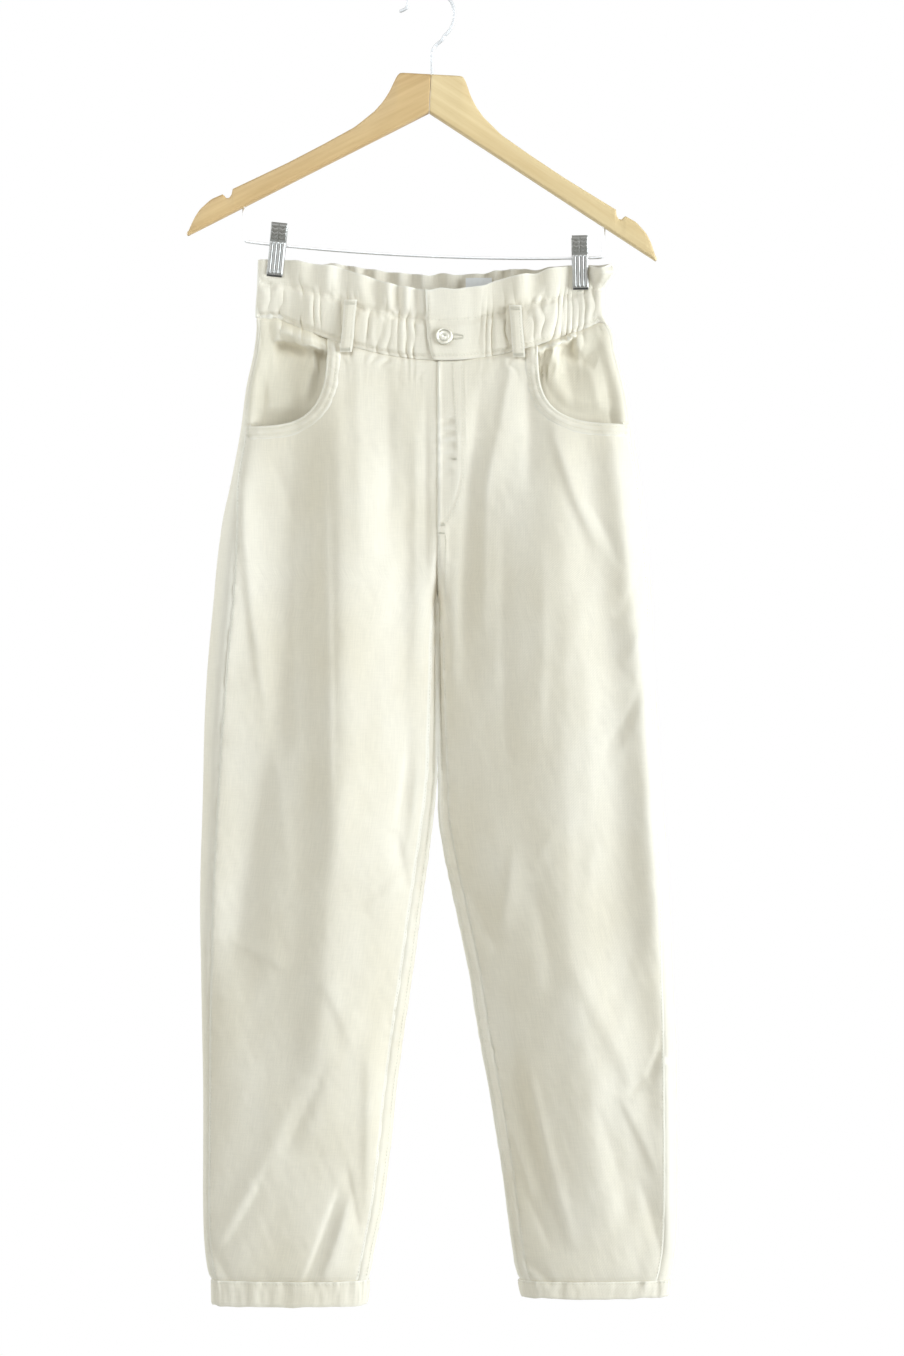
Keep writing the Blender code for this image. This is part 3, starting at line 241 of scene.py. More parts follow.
BACK_CREASES = (
    (-70, 345, -95, 640, 5, 14, 4.2, 0.3),
    (-44, 360, -52, 560, 3, 9, -2.4, 0.2),
    (-120, 420, -110, 860, -5, 22, -7.0, -0.2),
    (-150, 400, -176, 640, -4, 11, 3.4, 0.3),
    (-138, 540, -128, 760, 3, 9, 2.0, 0.2),
    (-60, 600, -52, 960, 4, 15, 4.8, 0.3),
    (-14, 640, -40, 760, 3, 7, -3.0, 0.4),
    (-10, 600, -70, 680, -4, 9, 2.8, 0.3),
    (-165, 900, -95, 1080, 8, 22, -5.4, 0.2),
    (-190, 820, -120, 880, 4, 9, 2.4, 0.4),
    (-100, 1060, -185, 1210, 5, 13, 5.2, 0.4),
    (-70, 1120, -96, 1236, 2, 7, -3.4, 0.3),
    (-150, 1150, -200, 1230, 2, 7, -2.8, 0.2),
    (-52, 1010, -60, 1180, 1, 8, 3.2, 0.2),
    (70, 350, 60, 620, -4, 14, -5.2, 0.3),
    (44, 370, 40, 560, -2, 8, 2.2, 0.2),
    (110, 400, 150, 760, 6, 18, 5.6, 0.3),
    (160, 420, 190, 600, 4, 10, -3.0, 0.3),
    (34, 620, 86, 690, 4, 9, 2.8, -0.3),
    (30, 650, 52, 770, -3, 7, -3.0, 0.3),
    (120, 700, 105, 1000, -6, 22, -6.4, 0.2),
    (84, 790, 76, 940, 2, 9, 2.8, 0.3),
    (190, 800, 165, 1080, 5, 14, 4.6, 0.3),
    (212, 900, 180, 960, 3, 6, -2.6, 0.4),
    (110, 1040, 175, 1215, -5, 15, -5.0, -0.3),
    (96, 1070, 128, 1210, -3, 8, 3.0, 0.3),
    (190, 1090, 222, 1210, 3, 9, 2.8, 0.3),
)
CREASE_DEPTH = 0.75
CREASE_POWER = 1.7
FOLD_SOFTEN = (0.0, 0.55)
CREASES_START = (0.33, 0.42)
FACING_CREASES = (
    (-140, 324, -112, 350, 3, 8, 3.6, 0.3),
    (-112, 340, -104, 368, 1, 6, 2.2, 0.3),
    (-148, 340, -120, 352, 2, 7, -3.0, 0.4),
    (-135, 352, -122, 410, 4, 9, -2.0, 0.2),
    (-118, 360, -112, 410, 2, 7, 1.8, 0.2),
    (-160, 350, -150, 410, 2, 7, 1.6, 0.2),
    (112, 330, 128, 368, 2, 7, 2.6, 0.3),
    (128, 328, 150, 352, 3, 7, 3.2, 0.3),
    (122, 346, 160, 360, 2, 7, -2.8, 0.4),
    (130, 352, 140, 405, 2, 9, -2.0, 0.2),
    (150, 350, 164, 405, 2, 8, 1.8, 0.2),
)

# Gathers of the waist: the swell of each line, the depth of the gathers, and the frill's wider waves
GATHERS = table("drop swell depth frill", (
    (260, 1.0, 0.2, 2.4),
    (268, 0.7, 0.4, 2.4),
    (274, 0.0, 0.8, 2.0),
    (279, -1.3, 1.5, 1.0),
    (282, -2.3, 2.2, 0.4),
    (284, -1.6, 2.5, 0.2),
    (287, 0.6, 2.4, 0.0),
    (291, 1.8, 2.3, 0.0),
    (297, 2.3, 2.2, 0.0),
    (304, 1.9, 2.3, 0.0),
    (309, 0.8, 2.3, 0.0),
    (313, -1.5, 2.2, 0.0),
    (316, -1.8, 2.1, 0.0),
    (320, -0.3, 1.8, 0.0),
    (328, 0.5, 1.3, 0.0),
    (342, 0.2, 0.6, 0.0),
    (360, 0.0, 0.2, 0.0),
    (380, 0.0, 0.0, 0.0),
))
GATHER_PITCH = 0.0092
GATHER_PUFF = 0.80
GATHER_LEAST = 0.62
GATHER_LEVEL = 0.35
GATHER_SOFTEN = (0.0, 0.40)
SEAM_CRUMPLE_REACH = 0.0050
FRILL_EDGE = 0.268
FRILL_EDGE_END = 0.274
FRILL_PITCH = 0.025
SCALLOP = 0.4
SCALLOP_REACH = 0.007

# The flap of the frill at the wearer's left: where it starts, how far it goes, and the gap in front of it
FLIP_START = (0.155, 0.168)
FLIP_FADE = (0.264, 0.2845)
FLIP_OUT = 0.0085
FLIP_FORWARD = 0.0080
FLIP_CURL = 0.35
FLIP_OPEN = 0.0060
FLIP_OPEN_AT = 0.1610
FLIP_OPEN_WIDTH = 0.0045
FLIP_DIP = 0.7
FRONT_END = 0.499

# The clips: where they hold the waist, and how flat they press it
CLIP_X = {"right": -0.1435, "left": 0.1450}
CLIP_REACH = 0.024
CLIP_END = 0.290
CLIP_FADE = 0.400
PINCHED_DEPTH = 0.0011
JAW_REACH = 0.013
JAW_FADE = (0.276, 0.290)

# Front pockets
MOUTH_TOP_X = {"right": -0.095, "left": 0.104}
MOUTH_DROP = {"right": 0.419, "left": 0.4155}
MOUTH_POWER = 3.4
MOUTH_CORNER = 0.80
MOUTH_GAPE = 0.0016
FACING_MARGIN = 0.014
FACING_BACK = 0.0030
FACING_COVER = (0.80, 0.93)

# The tab, the fly and the button
TAB_EDGE = ((260, -3.0), (297, -1.0), (316, 5.0))
TAB_UNDER = 0.020
TAB_FLAT = 0.026
TAB_END = 0.050
TAB_RAISE = 0.0026
TAB_FADE = (0.012, 0.040)
TAB_EDGE_FADE = (0.024, 0.034)
TAB_SWELL = 0.6
FLY_WIDTH = 0.0255
FLY_CURVE_START = 0.452
BUTTON_X = 0.0155
BUTTON_DROP = 0.3325
BUTTON_SAG = 0.0385
BUTTON_RADIUS = 0.0082

LOOP_WIDTH = 0.0115
LOOP_TOP = 0.280
LOOP_END = 0.324
LOOPS = (
    ("belt_loop_front_right", "front", -0.0735, -0.0780),
    ("belt_loop_front_left", "front", 0.0830, 0.0868),
    ("belt_loop_back_right", "back", -0.0880, -0.0900),
    ("belt_loop_back_centre", "back", 0.0090, 0.0090),
    ("belt_loop_back_left", "back", 0.1010, 0.1030),
)


# ---------------------------------------------------------------- numbers and curves

# Random hills: how wide and tall each is, how high, and its seed. A tall of None is one that doesn't change
# with the drop.
HILLS = {
    "gather_drift": (0.030, None, 1.0, 11),
    "gather_fine_drift": (0.010, None, 0.30, 12),
    "gather_slant": (0.024, None, 0.25, 13),
    "gather_waver": (0.013, 0.011, 0.26, 17),
    "gather_depth": (0.008, 0.013, 0.75, 14),
    "frill_drift": (0.045, None, 0.8, 15),
    "frill_edge": (0.013, None, 0.0016, 31),
    "seam_crumple": (0.0045, 0.0040, 0.0013, 16),
    "long_hollow": (0.030, 0.170, 0.0010, 21),
    "slanting": (0.016, 0.055, 0.0004, 22),
    "small": (0.0065, 0.017, 0.00016, 23),
    "bunch_edge": (0.006, None, 0.0012, 41),
    "side_seam": (0.0075, None, 0.0004, 7),
}
SOFT_LEANS = {"long_hollow": (0.0, 0.0), "slanting": (0.35, -0.3), "small": (-0.4, 0.2)}
BACK_SEEDS = {"gathers": 40.0, "soft": 60.0}
NOISE_SIZE = 128


def smooth(at, named, column):
    """A column's value at each drop, on a smooth curve through the rows."""
    knots = named["drop"]
    values = named[column]
    slopes = np.gradient(values, knots)
    at = np.clip(at, knots[0], knots[-1])
    low = np.clip(np.searchsorted(knots, at, side="right") - 1, 0, len(knots) - 2)
    gap = knots[low + 1] - knots[low]
    t = (at - knots[low]) / gap
    start = values[low] * (1 + 2 * t) * (1 - t) ** 2 + slopes[low] * gap * t * (1 - t) ** 2
    end = values[low + 1] * t * t * (3 - 2 * t) - slopes[low + 1] * gap * t * t * (1 - t)
    return start + end


def ramp(value, low, high):
    """0 below low, 1 above high, and a soft step between."""
    t = np.clip((value - low) / (high - low), 0.0, 1.0)
    return t * t * (3 - 2 * t)


def fall(value, low, high):
    """1 below low, 0 above high, and a soft step between."""
    return 1 - ramp(value, low, high)


def bell(value, width, power=2):
    """1 at zero, and almost 0 two widths away."""
    return np.exp(-((value / width) ** power))


def mix(start, end, share):
    return start + (end - start) * share


def noise(u, v, seed):
    """Soft random hills between -1 and 1, one to each unit of u and v."""
    values = np.random.default_rng(seed).uniform(-1.0, 1.0, (NOISE_SIZE, NOISE_SIZE))
    u, v = np.broadcast_arrays(u, v)
    column = np.floor(u).astype(int)
    row = np.floor(v).astype(int)
    fu = ramp(u - column, 0.0, 1.0)
    fv = ramp(v - row, 0.0, 1.0)

    def corner(du, dv):
        return values[(row + dv) % NOISE_SIZE, (column + du) % NOISE_SIZE]

    near = corner(0, 0) * (1 - fu) + corner(1, 0) * fu
    far = corner(0, 1) * (1 - fu) + corner(1, 1) * fu
    return near * (1 - fv) + far * fv


def hills(kind, x, drop=0.0, shift=0.0):
    """The named random hills at each point."""
    wide, tall, height, seed = HILLS[kind]
    return height * noise(x / wide + shift, drop / tall if tall else 0.0, seed)


# ---------------------------------------------------------------- the ring of cloth


def closing(drop, power):
    """0 where the two halves are one trunk, 1 where each is a closed leg."""
    return np.clip((drop - FLY_END) / (CROTCH - FLY_END), 0.0, 1.0) ** power


def inner_and_outer(side, drop):
    """X of a half's inner edge and of its side edge."""
    inner, outer = (
        np.where(side < 0, smooth(drop, SECTIONS, f"right_{edge}"), smooth(drop, SECTIONS, f"left_{edge}"))
        for edge in ("inner", "side")
    )
    shut = closing(drop, min(FRONT_DIVE, BACK_DIVE))
    apart = LEGS_APART * (1 + APART_RISE) * shut / (shut + APART_RISE)
    apart = apart * mix(TOUCHING, 1, ramp(drop, *TOUCH_FADE))
    return inner + side * apart, outer


def span_of(side, drop):
    """How wide a half is."""
    inner, outer = inner_and_outer(side, drop)
    return np.abs(outer - inner)


def across_of(turn, shut):
    """How far across the section, 0 at the inner edge and 1 at the side edge."""
    return (1 - shut) * np.sin(math.pi * turn) + shut * (1 - np.cos(2 * math.pi * turn)) / 2


def depth_share(turn, across, shut, drop):
    """The depth at each point of a section, as a share of its greatest depth."""
    power = mix(*SIDE_POWER, ramp(drop, *SIDE_POWER_FADE))
    at_side = np.clip(1 - np.abs(across) ** power, 0.0, 1.0) ** SIDE_ROUNDNESS
    rounding = mix(*INNER_ROUND, ramp(drop, CROTCH, INNER_ROUND_END))
    towards = np.clip(np.abs(across) / rounding, 0.0, 1.0)
    at_inner = np.sign(turn) * np.sqrt(1 - (1 - towards) ** 2)
    return at_side * (1 - shut + shut * at_inner)


def turn_of(across, shut):
    """The place on the front whose distance across is given, found by halving."""
    across, shut = np.broadcast_arrays(across, shut)
    low = np.zeros(across.shape)
    high = np.full(across.shape, 0.5)
    for _ in range(HALVINGS):
        middle = (low + high) / 2
        short = across_of(middle, shut) < across
        low = np.where(short, middle, low)
        high = np.where(short, high, middle)
    return (low + high) / 2


def near_clips(x, reach):
    """1 where a clip holds the waist, 0 far from it."""
    return sum(bell(x - at, reach, 4) for at in CLIP_X.values())


def sag_of(x, drop, front):
    """How much lower than its nominal drop the cloth hangs."""
    middle = (1 + np.cos(math.pi * np.clip(np.abs(x - CENTRE) / SAG_REACH, 0, 1))) / 2
    spread = smooth(drop, SAGS, "spread") / MM
    sag = np.where(front, smooth(drop, SAGS, "front_sag"), smooth(drop, SAGS, "back_sag"))
    return sag * middle**spread + smooth(drop, SAGS, "tip") * x / CLIP_X["left"]


def crease_relief(rows, x, drop, strength=CREASE_DEPTH):
    """The height of all the creases of one face at each point."""
    total = np.zeros(x.shape)
    for row in rows:
        x0, drop0, x1, drop1, bend, width, height, _ = np.array(row) * MM
        lean = row[-1]
        run_x = x1 - x0
        run_drop = drop1 - drop0
        length = math.hypot(run_x, run_drop)
        along = np.clip(((x - x0) * run_x + (drop - drop0) * run_drop) / length**2, 0.0, 1.0)
        aside = ((x - x0) * run_drop - (drop - drop0) * run_x) / length
        aside = (aside - bend * 4 * along * (1 - along)) / width
        aside = aside / (1 + lean * np.tanh(2 * aside))
        taper = 1 - np.abs(2 * along - 1) ** 3
        total = total + height * taper * np.exp(-(np.abs(aside) ** CREASE_POWER))
    return total * strength


def gather_relief(x, drop, front):
    """Puffed gathers of the channel, the frill's wider waves, and the swell between the stitched lines."""
    shift = np.where(front, 0.0, BACK_SEEDS["gathers"])
    drift = hills("gather_drift", x, shift=shift) + hills("gather_fine_drift", x, shift=shift)
    slant = hills("gather_slant", x, shift=shift) * (drop - WAIST_SEAM) / GATHER_PITCH
    phase = x / GATHER_PITCH + drift + slant + hills("gather_waver", x, drop, shift)
    valley = 1 - np.abs(np.sin(math.pi * phase)) ** GATHER_PUFF
    reach = smooth(drop, GATHERS, "depth") * (GATHER_LEAST + hills("gather_depth", x, drop, shift))
    frill_phase = x / FRILL_PITCH + hills("frill_drift", x, shift=shift)
    frill = smooth(drop, GATHERS, "frill") * np.sin(2 * math.pi * frill_phase)
    crumpled = hills("seam_crumple", x, drop, shift) * bell(drop - FRILL_SEAM, SEAM_CRUMPLE_REACH)
    beside_tab = np.where(x < TAB_FLAT, ramp(TAB_FLAT - x, *TAB_EDGE_FADE), ramp(x - TAB_FLAT, *TAB_FADE))
    off_tab = np.where(front, beside_tab, 1.0)
    swell = smooth(drop, GATHERS, "swell") * mix(TAB_SWELL, 1.0, off_tab)
    return swell + (frill + crumpled + reach * (GATHER_LEVEL - valley)) * off_tab


def soft_relief(x, drop, front):
    """Long slow hollows of the hanging cloth and its small crumples."""
    shift = np.where(front, 0.0, BACK_SEEDS["soft"])
    leans = SOFT_LEANS.items()
    relief = sum(hills(kind, x + across * drop, drop + down * x, shift) for kind, (across, down) in leans)
    return relief * ramp(drop, *CREASES_START)


def middle_point(side, q, drop):
    """The cloth's middle surface, folds and all, as an array of points."""
    side, q, drop = np.broadcast_arrays(side, q, drop)
    over = (q > 1.0) & (drop >= CROTCH)
    q = np.where(over, q - 1.0, q)
    front = q < 0.5
    turn = np.where(front, q, 1.0 - q)
    shut = np.where(front, closing(drop, FRONT_DIVE), closing(drop, BACK_DIVE))
    across = across_of(turn, shut)
    deep = depth_share(turn, across, shut, drop)
    x = mix(*inner_and_outer(side, drop), across)
    depth = np.where(front, smooth(drop, SECTIONS, "front_depth"), smooth(drop, SECTIONS, "back_depth"))
    pressed = near_clips(x, CLIP_REACH) * fall(drop, CLIP_END, CLIP_FADE)
    depth = depth * deep * (1 - pressed) + PINCHED_DEPTH * pressed
    hang = drop + sag_of(x, drop, front)
    creases = np.where(
        front,
        crease_relief(FRONT_CREASES, x, hang) + crease_relief(FRONT_FOLDS, x, hang, 1.0),
        crease_relief(BACK_CREASES, x, hang) + crease_relief(BACK_FOLDS, x, hang, 1.0),
    )
    relief = (creases + soft_relief(x, drop, front)) * (ramp(deep, *FOLD_SOFTEN) * (1 - pressed))
    under_jaw = near_clips(x, JAW_REACH) * fall(drop, *JAW_FADE)
    gathers = gather_relief(x, drop, front) * ramp(deep, *GATHER_SOFTEN) * (1 - under_jaw)
    scallop = -SCALLOP * gathers * bell(drop - WAIST_SEAM, SCALLOP_REACH)
    flip = ramp(x, *FLIP_START) * fall(drop, *FLIP_FADE)
    flip = flip * (1 - FLIP_CURL * fall(drop, FRILL_TOP, FRILL_EDGE))
    opened = bell(x - FLIP_OPEN_AT, FLIP_OPEN_WIDTH) * fall(drop, FRILL_TOP, FRILL_SEAM) * (q < FRONT_END)
    gap = FLIP_OPEN * opened * front
    frill_edge = hills("frill_edge", x) * fall(drop, FRILL_TOP, FRILL_EDGE_END) * (1 - pressed)
    y = np.where(front, -1.0, 1.0) * (depth + relief + gathers) - FLIP_FORWARD * flip - gap
    return np.stack([x + FLIP_OUT * flip, y, -hang - frill_edge + scallop - FLIP_DIP * gap], axis=-1)


def facing_out(side, q, drop):
    """The level direction that faces out of the cloth."""
    ahead = middle_point(side, q + FACING_STEP, drop) - middle_point(side, q - FACING_STEP, drop)
    side = np.broadcast_to(side, ahead.shape[:-1])
    out = np.stack([side * ahead[..., 1], -side * ahead[..., 0], 0 * ahead[..., 0]], axis=-1)
    return out / np.linalg.norm(out, axis=-1, keepdims=True)


def ring(side, q, drop):
    """Points of the cloth's middle and what they face."""
    return middle_point(side, q, drop), facing_out(side, q, drop)


def side_turn(side, name, drop, past=0.0):
    """Where the side seam lies on the ring; past moves it towards the centre by that distance."""
    inset = (smooth(drop, INSETS, f"{name}_side") + past) / span_of(side, drop)
    return turn_of(1.0 - inset, closing(drop, FRONT_DIVE))


def inner_turn(side, drop, past=0.0):
    """Where the front's inner edge lies on the ring: the centre seam, or the inseam on a leg."""
    inset = (smooth(drop, INSETS, "inseam") + past) / span_of(side, drop)
    return turn_of(inset, np.ones(np.shape(drop)) if past == 0.0 else closing(drop, FRONT_DIVE))


def moved(middle, out, distance):
    return middle + out * np.asarray(distance)[..., None]


def on_front(side, distance, drop, lift=0.0):
    """Points of the front at a distance from its centre line, lifted off the cloth, and what they face."""
    share = np.clip(distance / span_of(side, drop), 0.0, 1.0)
    middle, out = ring(side, turn_of(share, closing(drop, FRONT_DIVE)), drop)
    return moved(middle, out, lift), out


def trunk_point(x, drop, face, lift=0.0):
    """Points of the trunk at x, on its front or back, lifted off the cloth, and what they face."""
    x, drop = np.broadcast_arrays(x, drop)
    side = np.where(x < CENTRE, RIGHT, LEFT)
    inner, outer = inner_and_outer(side, drop)
    turn = np.arcsin(np.clip((x - inner) / (outer - inner), 0.0, 1.0)) / math.pi
    middle, out = ring(side, turn if face == "front" else 1.0 - turn, drop)
    return moved(middle, out, lift), out


# ---------------------------------------------------------------- meshes

# Edges bent by more than this many degrees stay sharp
CLOTH_SHARP = 60
WOOD_SHARP = 40
WIRE_SHARP = 75


def add_mesh(name, points, faces, material, uv=None, sharp_angle=None):
    """A smooth-shaded mesh; uv holds one pair for each point, and faces may be a list or one array."""
    mesh = bpy.data.meshes.new(name)
    sizes = np.array([len(face) for face in faces])
    corners = np.concatenate([np.asarray(face) for face in faces])
    starts = np.concatenate([[0], np.cumsum(sizes)[:-1]])
    mesh.vertices.add(len(points))
    mesh.vertices.foreach_set("co", np.asarray(points, dtype=np.float32).reshape(-1))
    mesh.loops.add(len(corners))
    mesh.loops.foreach_set("vertex_index", corners.astype(np.int32))
    mesh.polygons.add(len(sizes))
    mesh.polygons.foreach_set("loop_start", starts.astype(np.int32))
    mesh.polygons.foreach_set("loop_total", sizes.astype(np.int32))
    if uv is not None:
        layer = mesh.uv_layers.new(name="cloth")
        layer.data.foreach_set("uv", np.asarray(uv, dtype=np.float32)[corners].reshape(-1))
    mesh.update(calc_edges=True)
    mesh.validate()
    mesh.shade_smooth()
    if sharp_angle is not None:
        mesh.set_sharp_from_angle(angle=math.radians(sharp_angle))
    mesh.materials.append(material)
    made = bpy.data.objects.new(name, mesh)
    bpy.context.scene.collection.objects.link(made)
    return made


def grid_cells(keep, closed):
    """The quads of a grid whose corners are all kept, as indices of the grid's points."""
    rows, columns = keep.shape
    index = np.arange(rows * columns).reshape(rows, columns)
    if closed:
        index = np.concatenate([index, index[:, :1]], axis=1)
        keep = np.concatenate([keep, keep[:, :1]], axis=1)
    cells = np.stack([index[:-1, :-1], index[1:, :-1], index[1:, 1:], index[:-1, 1:]], axis=-1)
    whole = keep[:-1, :-1] & keep[1:, :-1] & keep[1:, 1:] & keep[:-1, 1:]
    return cells[whole]


def free_edges(cells, count):
    """Edges of the quads that no second quad shares."""
    start = cells.reshape(-1)
    end = np.roll(cells, -1, axis=1).reshape(-1)
    lone = ~np.isin(end * count + start, start * count + end)
    return start[lone], end[lone]


def cloth_uv(middle):
    """Lengths across and down the cloth, in metres, at each point of a grid."""
    across = np.linalg.norm(np.diff(middle, axis=1), axis=-1)
    across = np.concatenate([np.zeros((len(middle), 1)), np.cumsum(across, axis=1)], axis=1)
    return np.stack([across, -middle[..., 2]], axis=-1)


def add_wall(name, middle, out, wall, material, keep=None, closed=False):
    """Cloth of an even thickness round a grid of middle points, with its rims closed."""
    keep = np.ones(middle.shape[:2], dtype=bool) if keep is None else keep
    cells = grid_cells(keep, closed)
    flat = middle.reshape(-1, 3)
    outward = out.reshape(-1, 3)
    count = len(flat)
    sides = flat[cells]
    normals = np.cross(sides[:, 2] - sides[:, 0], sides[:, 3] - sides[:, 1])
    if np.sum(normals * outward[cells[:, 0]]) < 0:
        cells = cells[:, ::-1]
    start, end = free_edges(cells, count)
    rim = np.stack([end, start, start + count, end + count], axis=1)
    faces = np.concatenate([cells, cells[:, ::-1] + count, rim])
    points = np.concatenate([flat + outward * wall / 2, flat - outward * wall / 2])
    uv = np.tile(cloth_uv(middle).reshape(-1, 2), (2, 1))
    used = np.zeros(2 * count, dtype=bool)
    used[faces.reshape(-1)] = True
    renumber = np.cumsum(used) - 1
    return add_mesh(name, points[used], renumber[faces], material, uv[used], CLOTH_SHARP)


def band_faces(bands, around, first=0):
    """The quads between rings of points, each of which has the same number around."""
    turned = [(k, (k + 1) % around) for k in range(around)]
    lows = [first + band * around for band in range(bands)]
    return [(low + k, low + n, low + around + n, low + around + k) for low in lows for k, n in turned]


# ---------------------------------------------------------------- stitches

STITCH = {"pitch": 0.0034, "length": 0.0025, "width": 0.00075, "height": 0.0005}
TACK = {"pitch": 0.0009, "length": 0.0022, "width": 0.0007, "height": 0.0005}
STITCH_SHOULDER = 0.55
STITCH_AIM = 0.0005
SUNK = 0.00005
# A stitch's points: its two ends, its two sides and the two ends of its top
STITCH_FACES = ((0, 3, 4), (0, 4, 2), (1, 5, 3), (1, 2, 5), (3, 5, 4), (2, 4, 5))
TINY = 1e-9


def units(vectors):
    return vectors / np.maximum(np.linalg.norm(vectors, axis=-1, keepdims=True), TINY)


class Thread:
    """The stitches of one piece, gathered up and then made into one mesh."""

    def __init__(self):
        self.points = []

    def row(self, points, outs, kind=STITCH, crosswise=False):
        """Stitches along a line of points on the cloth's face."""
        points = np.asarray(points)
        steps = np.linalg.norm(np.diff(points, axis=0), axis=1)
        run = np.concatenate([[0.0], np.cumsum(steps)])
        number = max(int(run[-1] / kind["pitch"]), 1)
        at = (np.arange(number) + 0.5) * run[-1] / number

        def between(values, places):
            return np.stack([np.interp(places, run, values[:, k]) for k in range(3)], axis=-1)

        along = units(between(points, at + STITCH_AIM) - between(points, at - STITCH_AIM))
        aside = units(np.cross(between(np.asarray(outs), at), along))
        out = np.cross(along, aside)
        if crosswise:
            along, aside = aside, along
        middle = between(points, at) + out * SUNK
        half = kind["length"] / 2
        wide = kind["width"] / 2
        high = kind["height"]
        corners = [
            middle - along * half,
            middle + along * half,
            middle + aside * wide,
            middle - aside * wide,
            middle + out * high - along * half * STITCH_SHOULDER,
            middle + out * high + along * half * STITCH_SHOULDER,
        ]
        self.points.append(np.stack(corners, axis=1))

    def make(self, name):
        points = np.concatenate(self.points)
        firsts = points.shape[1] * np.arange(len(points))
        faces = (np.array(STITCH_FACES) + firsts[:, None, None]).reshape(-1, 3)
        return add_mesh(name, points.reshape(-1, 3), faces, THREAD)


# ---------------------------------------------------------------- materials

EVEN = (1.0, 1.0, 1.0)
DENIM_SHEEN = {"Sheen Weight": 0.03, "Sheen Roughness": 0.55, "Specular IOR Level": 0.04}
THREAD_SHEEN = {"Sheen Weight": 0.2}
WOOD_LACQUER = {"Coat Weight": 0.08, "Coat Roughness": 0.35}
WAVE_UNIT = 20.0
TWILL_TURN = 62.0
TWILL_PERIOD = 0.0013
WEAVE_PERIOD = 0.0008


class Finish:
    """A node material under construction."""

    def __init__(self, name, roughness, metallic=0.0, settings=()):
        self.material = bpy.data.materials.new(name)
        self.material.use_nodes = True
        self.tree = self.material.node_tree
        self.shader = self.tree.nodes["Principled BSDF"]
        for key, value in {"Roughness": roughness, "Metallic": metallic, **dict(settings)}.items():
            self.shader.inputs[key].default_value = value

    def add(self, kind, inputs=(), **settings):
        node = self.tree.nodes.new(kind)
        for key, value in settings.items():
            setattr(node, key, value)
        for key, value in dict(inputs).items():
            self.put(node.inputs[key], value)
        return node

    def put(self, socket, value):
        if isinstance(value, bpy.types.NodeSocket):
            self.tree.links.new(value, socket)
        elif socket.type == "RGBA":
            socket.default_value = (*value, 1.0)
        else:
            socket.default_value = value

    def place(self, kind, scale=EVEN, turn=0.0):
        """Coordinates of the given kind, scaled, and turned in degrees."""
        source = self.add("ShaderNodeTexCoord").outputs[kind]
        inputs = {"Vector": source, "Scale": scale, "Rotation": (0.0, 0.0, math.radians(turn))}
        return self.add("ShaderNodeMapping", inputs).outputs["Vector"]

    def noise(self, place, scale, detail=2.0, roughness=0.5):
        inputs = {"Vector": place, "Scale": scale, "Detail": detail, "Roughness": roughness}
        return self.add("ShaderNodeTexNoise", inputs).outputs["Fac"]

    def wave(self, place, period, distortion=0.0, detail=0.0):
        """Straight bands across the first coordinate, a period apart."""
        scale = 2 * math.pi / (WAVE_UNIT * period)
        inputs = {"Vector": place, "Scale": scale, "Distortion": distortion, "Detail": detail}
        return self.add("ShaderNodeTexWave", inputs).outputs["Fac"]

    def between(self, factor, low, high, from_low=0.0, from_high=1.0):
        """The factor's range carried over to low and high."""
        inputs = {"Value": factor, "From Min": from_low, "From Max": from_high}
        inputs.update({"To Min": low, "To Max": high})
        return self.add("ShaderNodeMapRange", inputs).outputs["Result"]

    def math(self, operation, first, second):
        node = self.add("ShaderNodeMath", operation=operation)
        self.put(node.inputs[0], first)
        self.put(node.inputs[1], second)
        return node.outputs[0]

    def total(self, first, first_share, second, second_share):
        """The sum of two values, each times its share."""
        first = self.math("MULTIPLY", first, first_share)
        return self.math("ADD", first, self.math("MULTIPLY", second, second_share))

    def mix(self, factor, first, second):
        node = self.add("ShaderNodeMix", data_type="RGBA", blend_type="MIX")
        colors = [socket for socket in node.inputs if socket.type == "RGBA"]
        self.put(node.inputs["Factor"], factor)
        self.put(colors[0], first)
        self.put(colors[1], second)
        return next(socket for socket in node.outputs if socket.type == "RGBA")

    def finish(self, color, roughness, height=None, strength=0.3, distance=0.0005):
        self.put(self.shader.inputs["Base Color"], color)
        self.put(self.shader.inputs["Roughness"], roughness)
        if height is not None:
            inputs = {"Height": height, "Strength": strength, "Distance": distance}
            normal = self.add("ShaderNodeBump", inputs).outputs["Normal"]
            self.put(self.shader.inputs["Normal"], normal)
        return self.material


def denim_finish(name, light, dark, wear_and_highlight):
    """Cream cotton twill: fine diagonal ribs, uneven warp threads, soft blotches, and paler ridges, which are
    partly wear and partly a painted highlight.
    """
    made = Finish(name, 0.92, settings=DENIM_SHEEN)
    twill = made.wave(made.place("UV", turn=TWILL_TURN), TWILL_PERIOD, distortion=0.6, detail=1.0)
    warp = made.noise(made.place("UV", (1.0, 0.055, 1.0)), 900.0)
    weft = made.noise(made.place("UV", (0.10, 1.0, 1.0)), 800.0)
    grain = made.noise(made.place("UV"), 420.0, detail=3.0, roughness=0.6)
    blotch = made.noise(made.place("Object", (1.0, 1.0, 0.6)), 14.0, detail=3.0)
    base = made.mix(made.between(blotch, 0.0, 1.0, 0.3, 0.7), light, dark)
    threads = made.total(warp, 0.6, weft, 0.4)
    shaded = made.add("ShaderNodeVectorMath", operation="SCALE")
    made.put(shaded.inputs[0], base)
    made.put(shaded.inputs["Scale"], made.between(threads, 0.965, 1.035, 0.35, 0.65))
    # Pointiness turns convex ridges paler: partly wear, partly painted highlight on the ridges (and so
    # relatively painted shade in the hollows).
    ridge = made.add("ShaderNodeNewGeometry").outputs["Pointiness"]
    color = made.mix(made.between(ridge, 0.0, 0.55, 0.505, 0.56), shaded.outputs[0], wear_and_highlight)
    fine = made.total(twill, 0.45, threads, 0.8)
    height = made.math("ADD", fine, made.math("MULTIPLY", grain, 0.6))
    return made.finish(color, made.between(grain, 0.86, 0.97), height, strength=0.26, distance=0.0004)


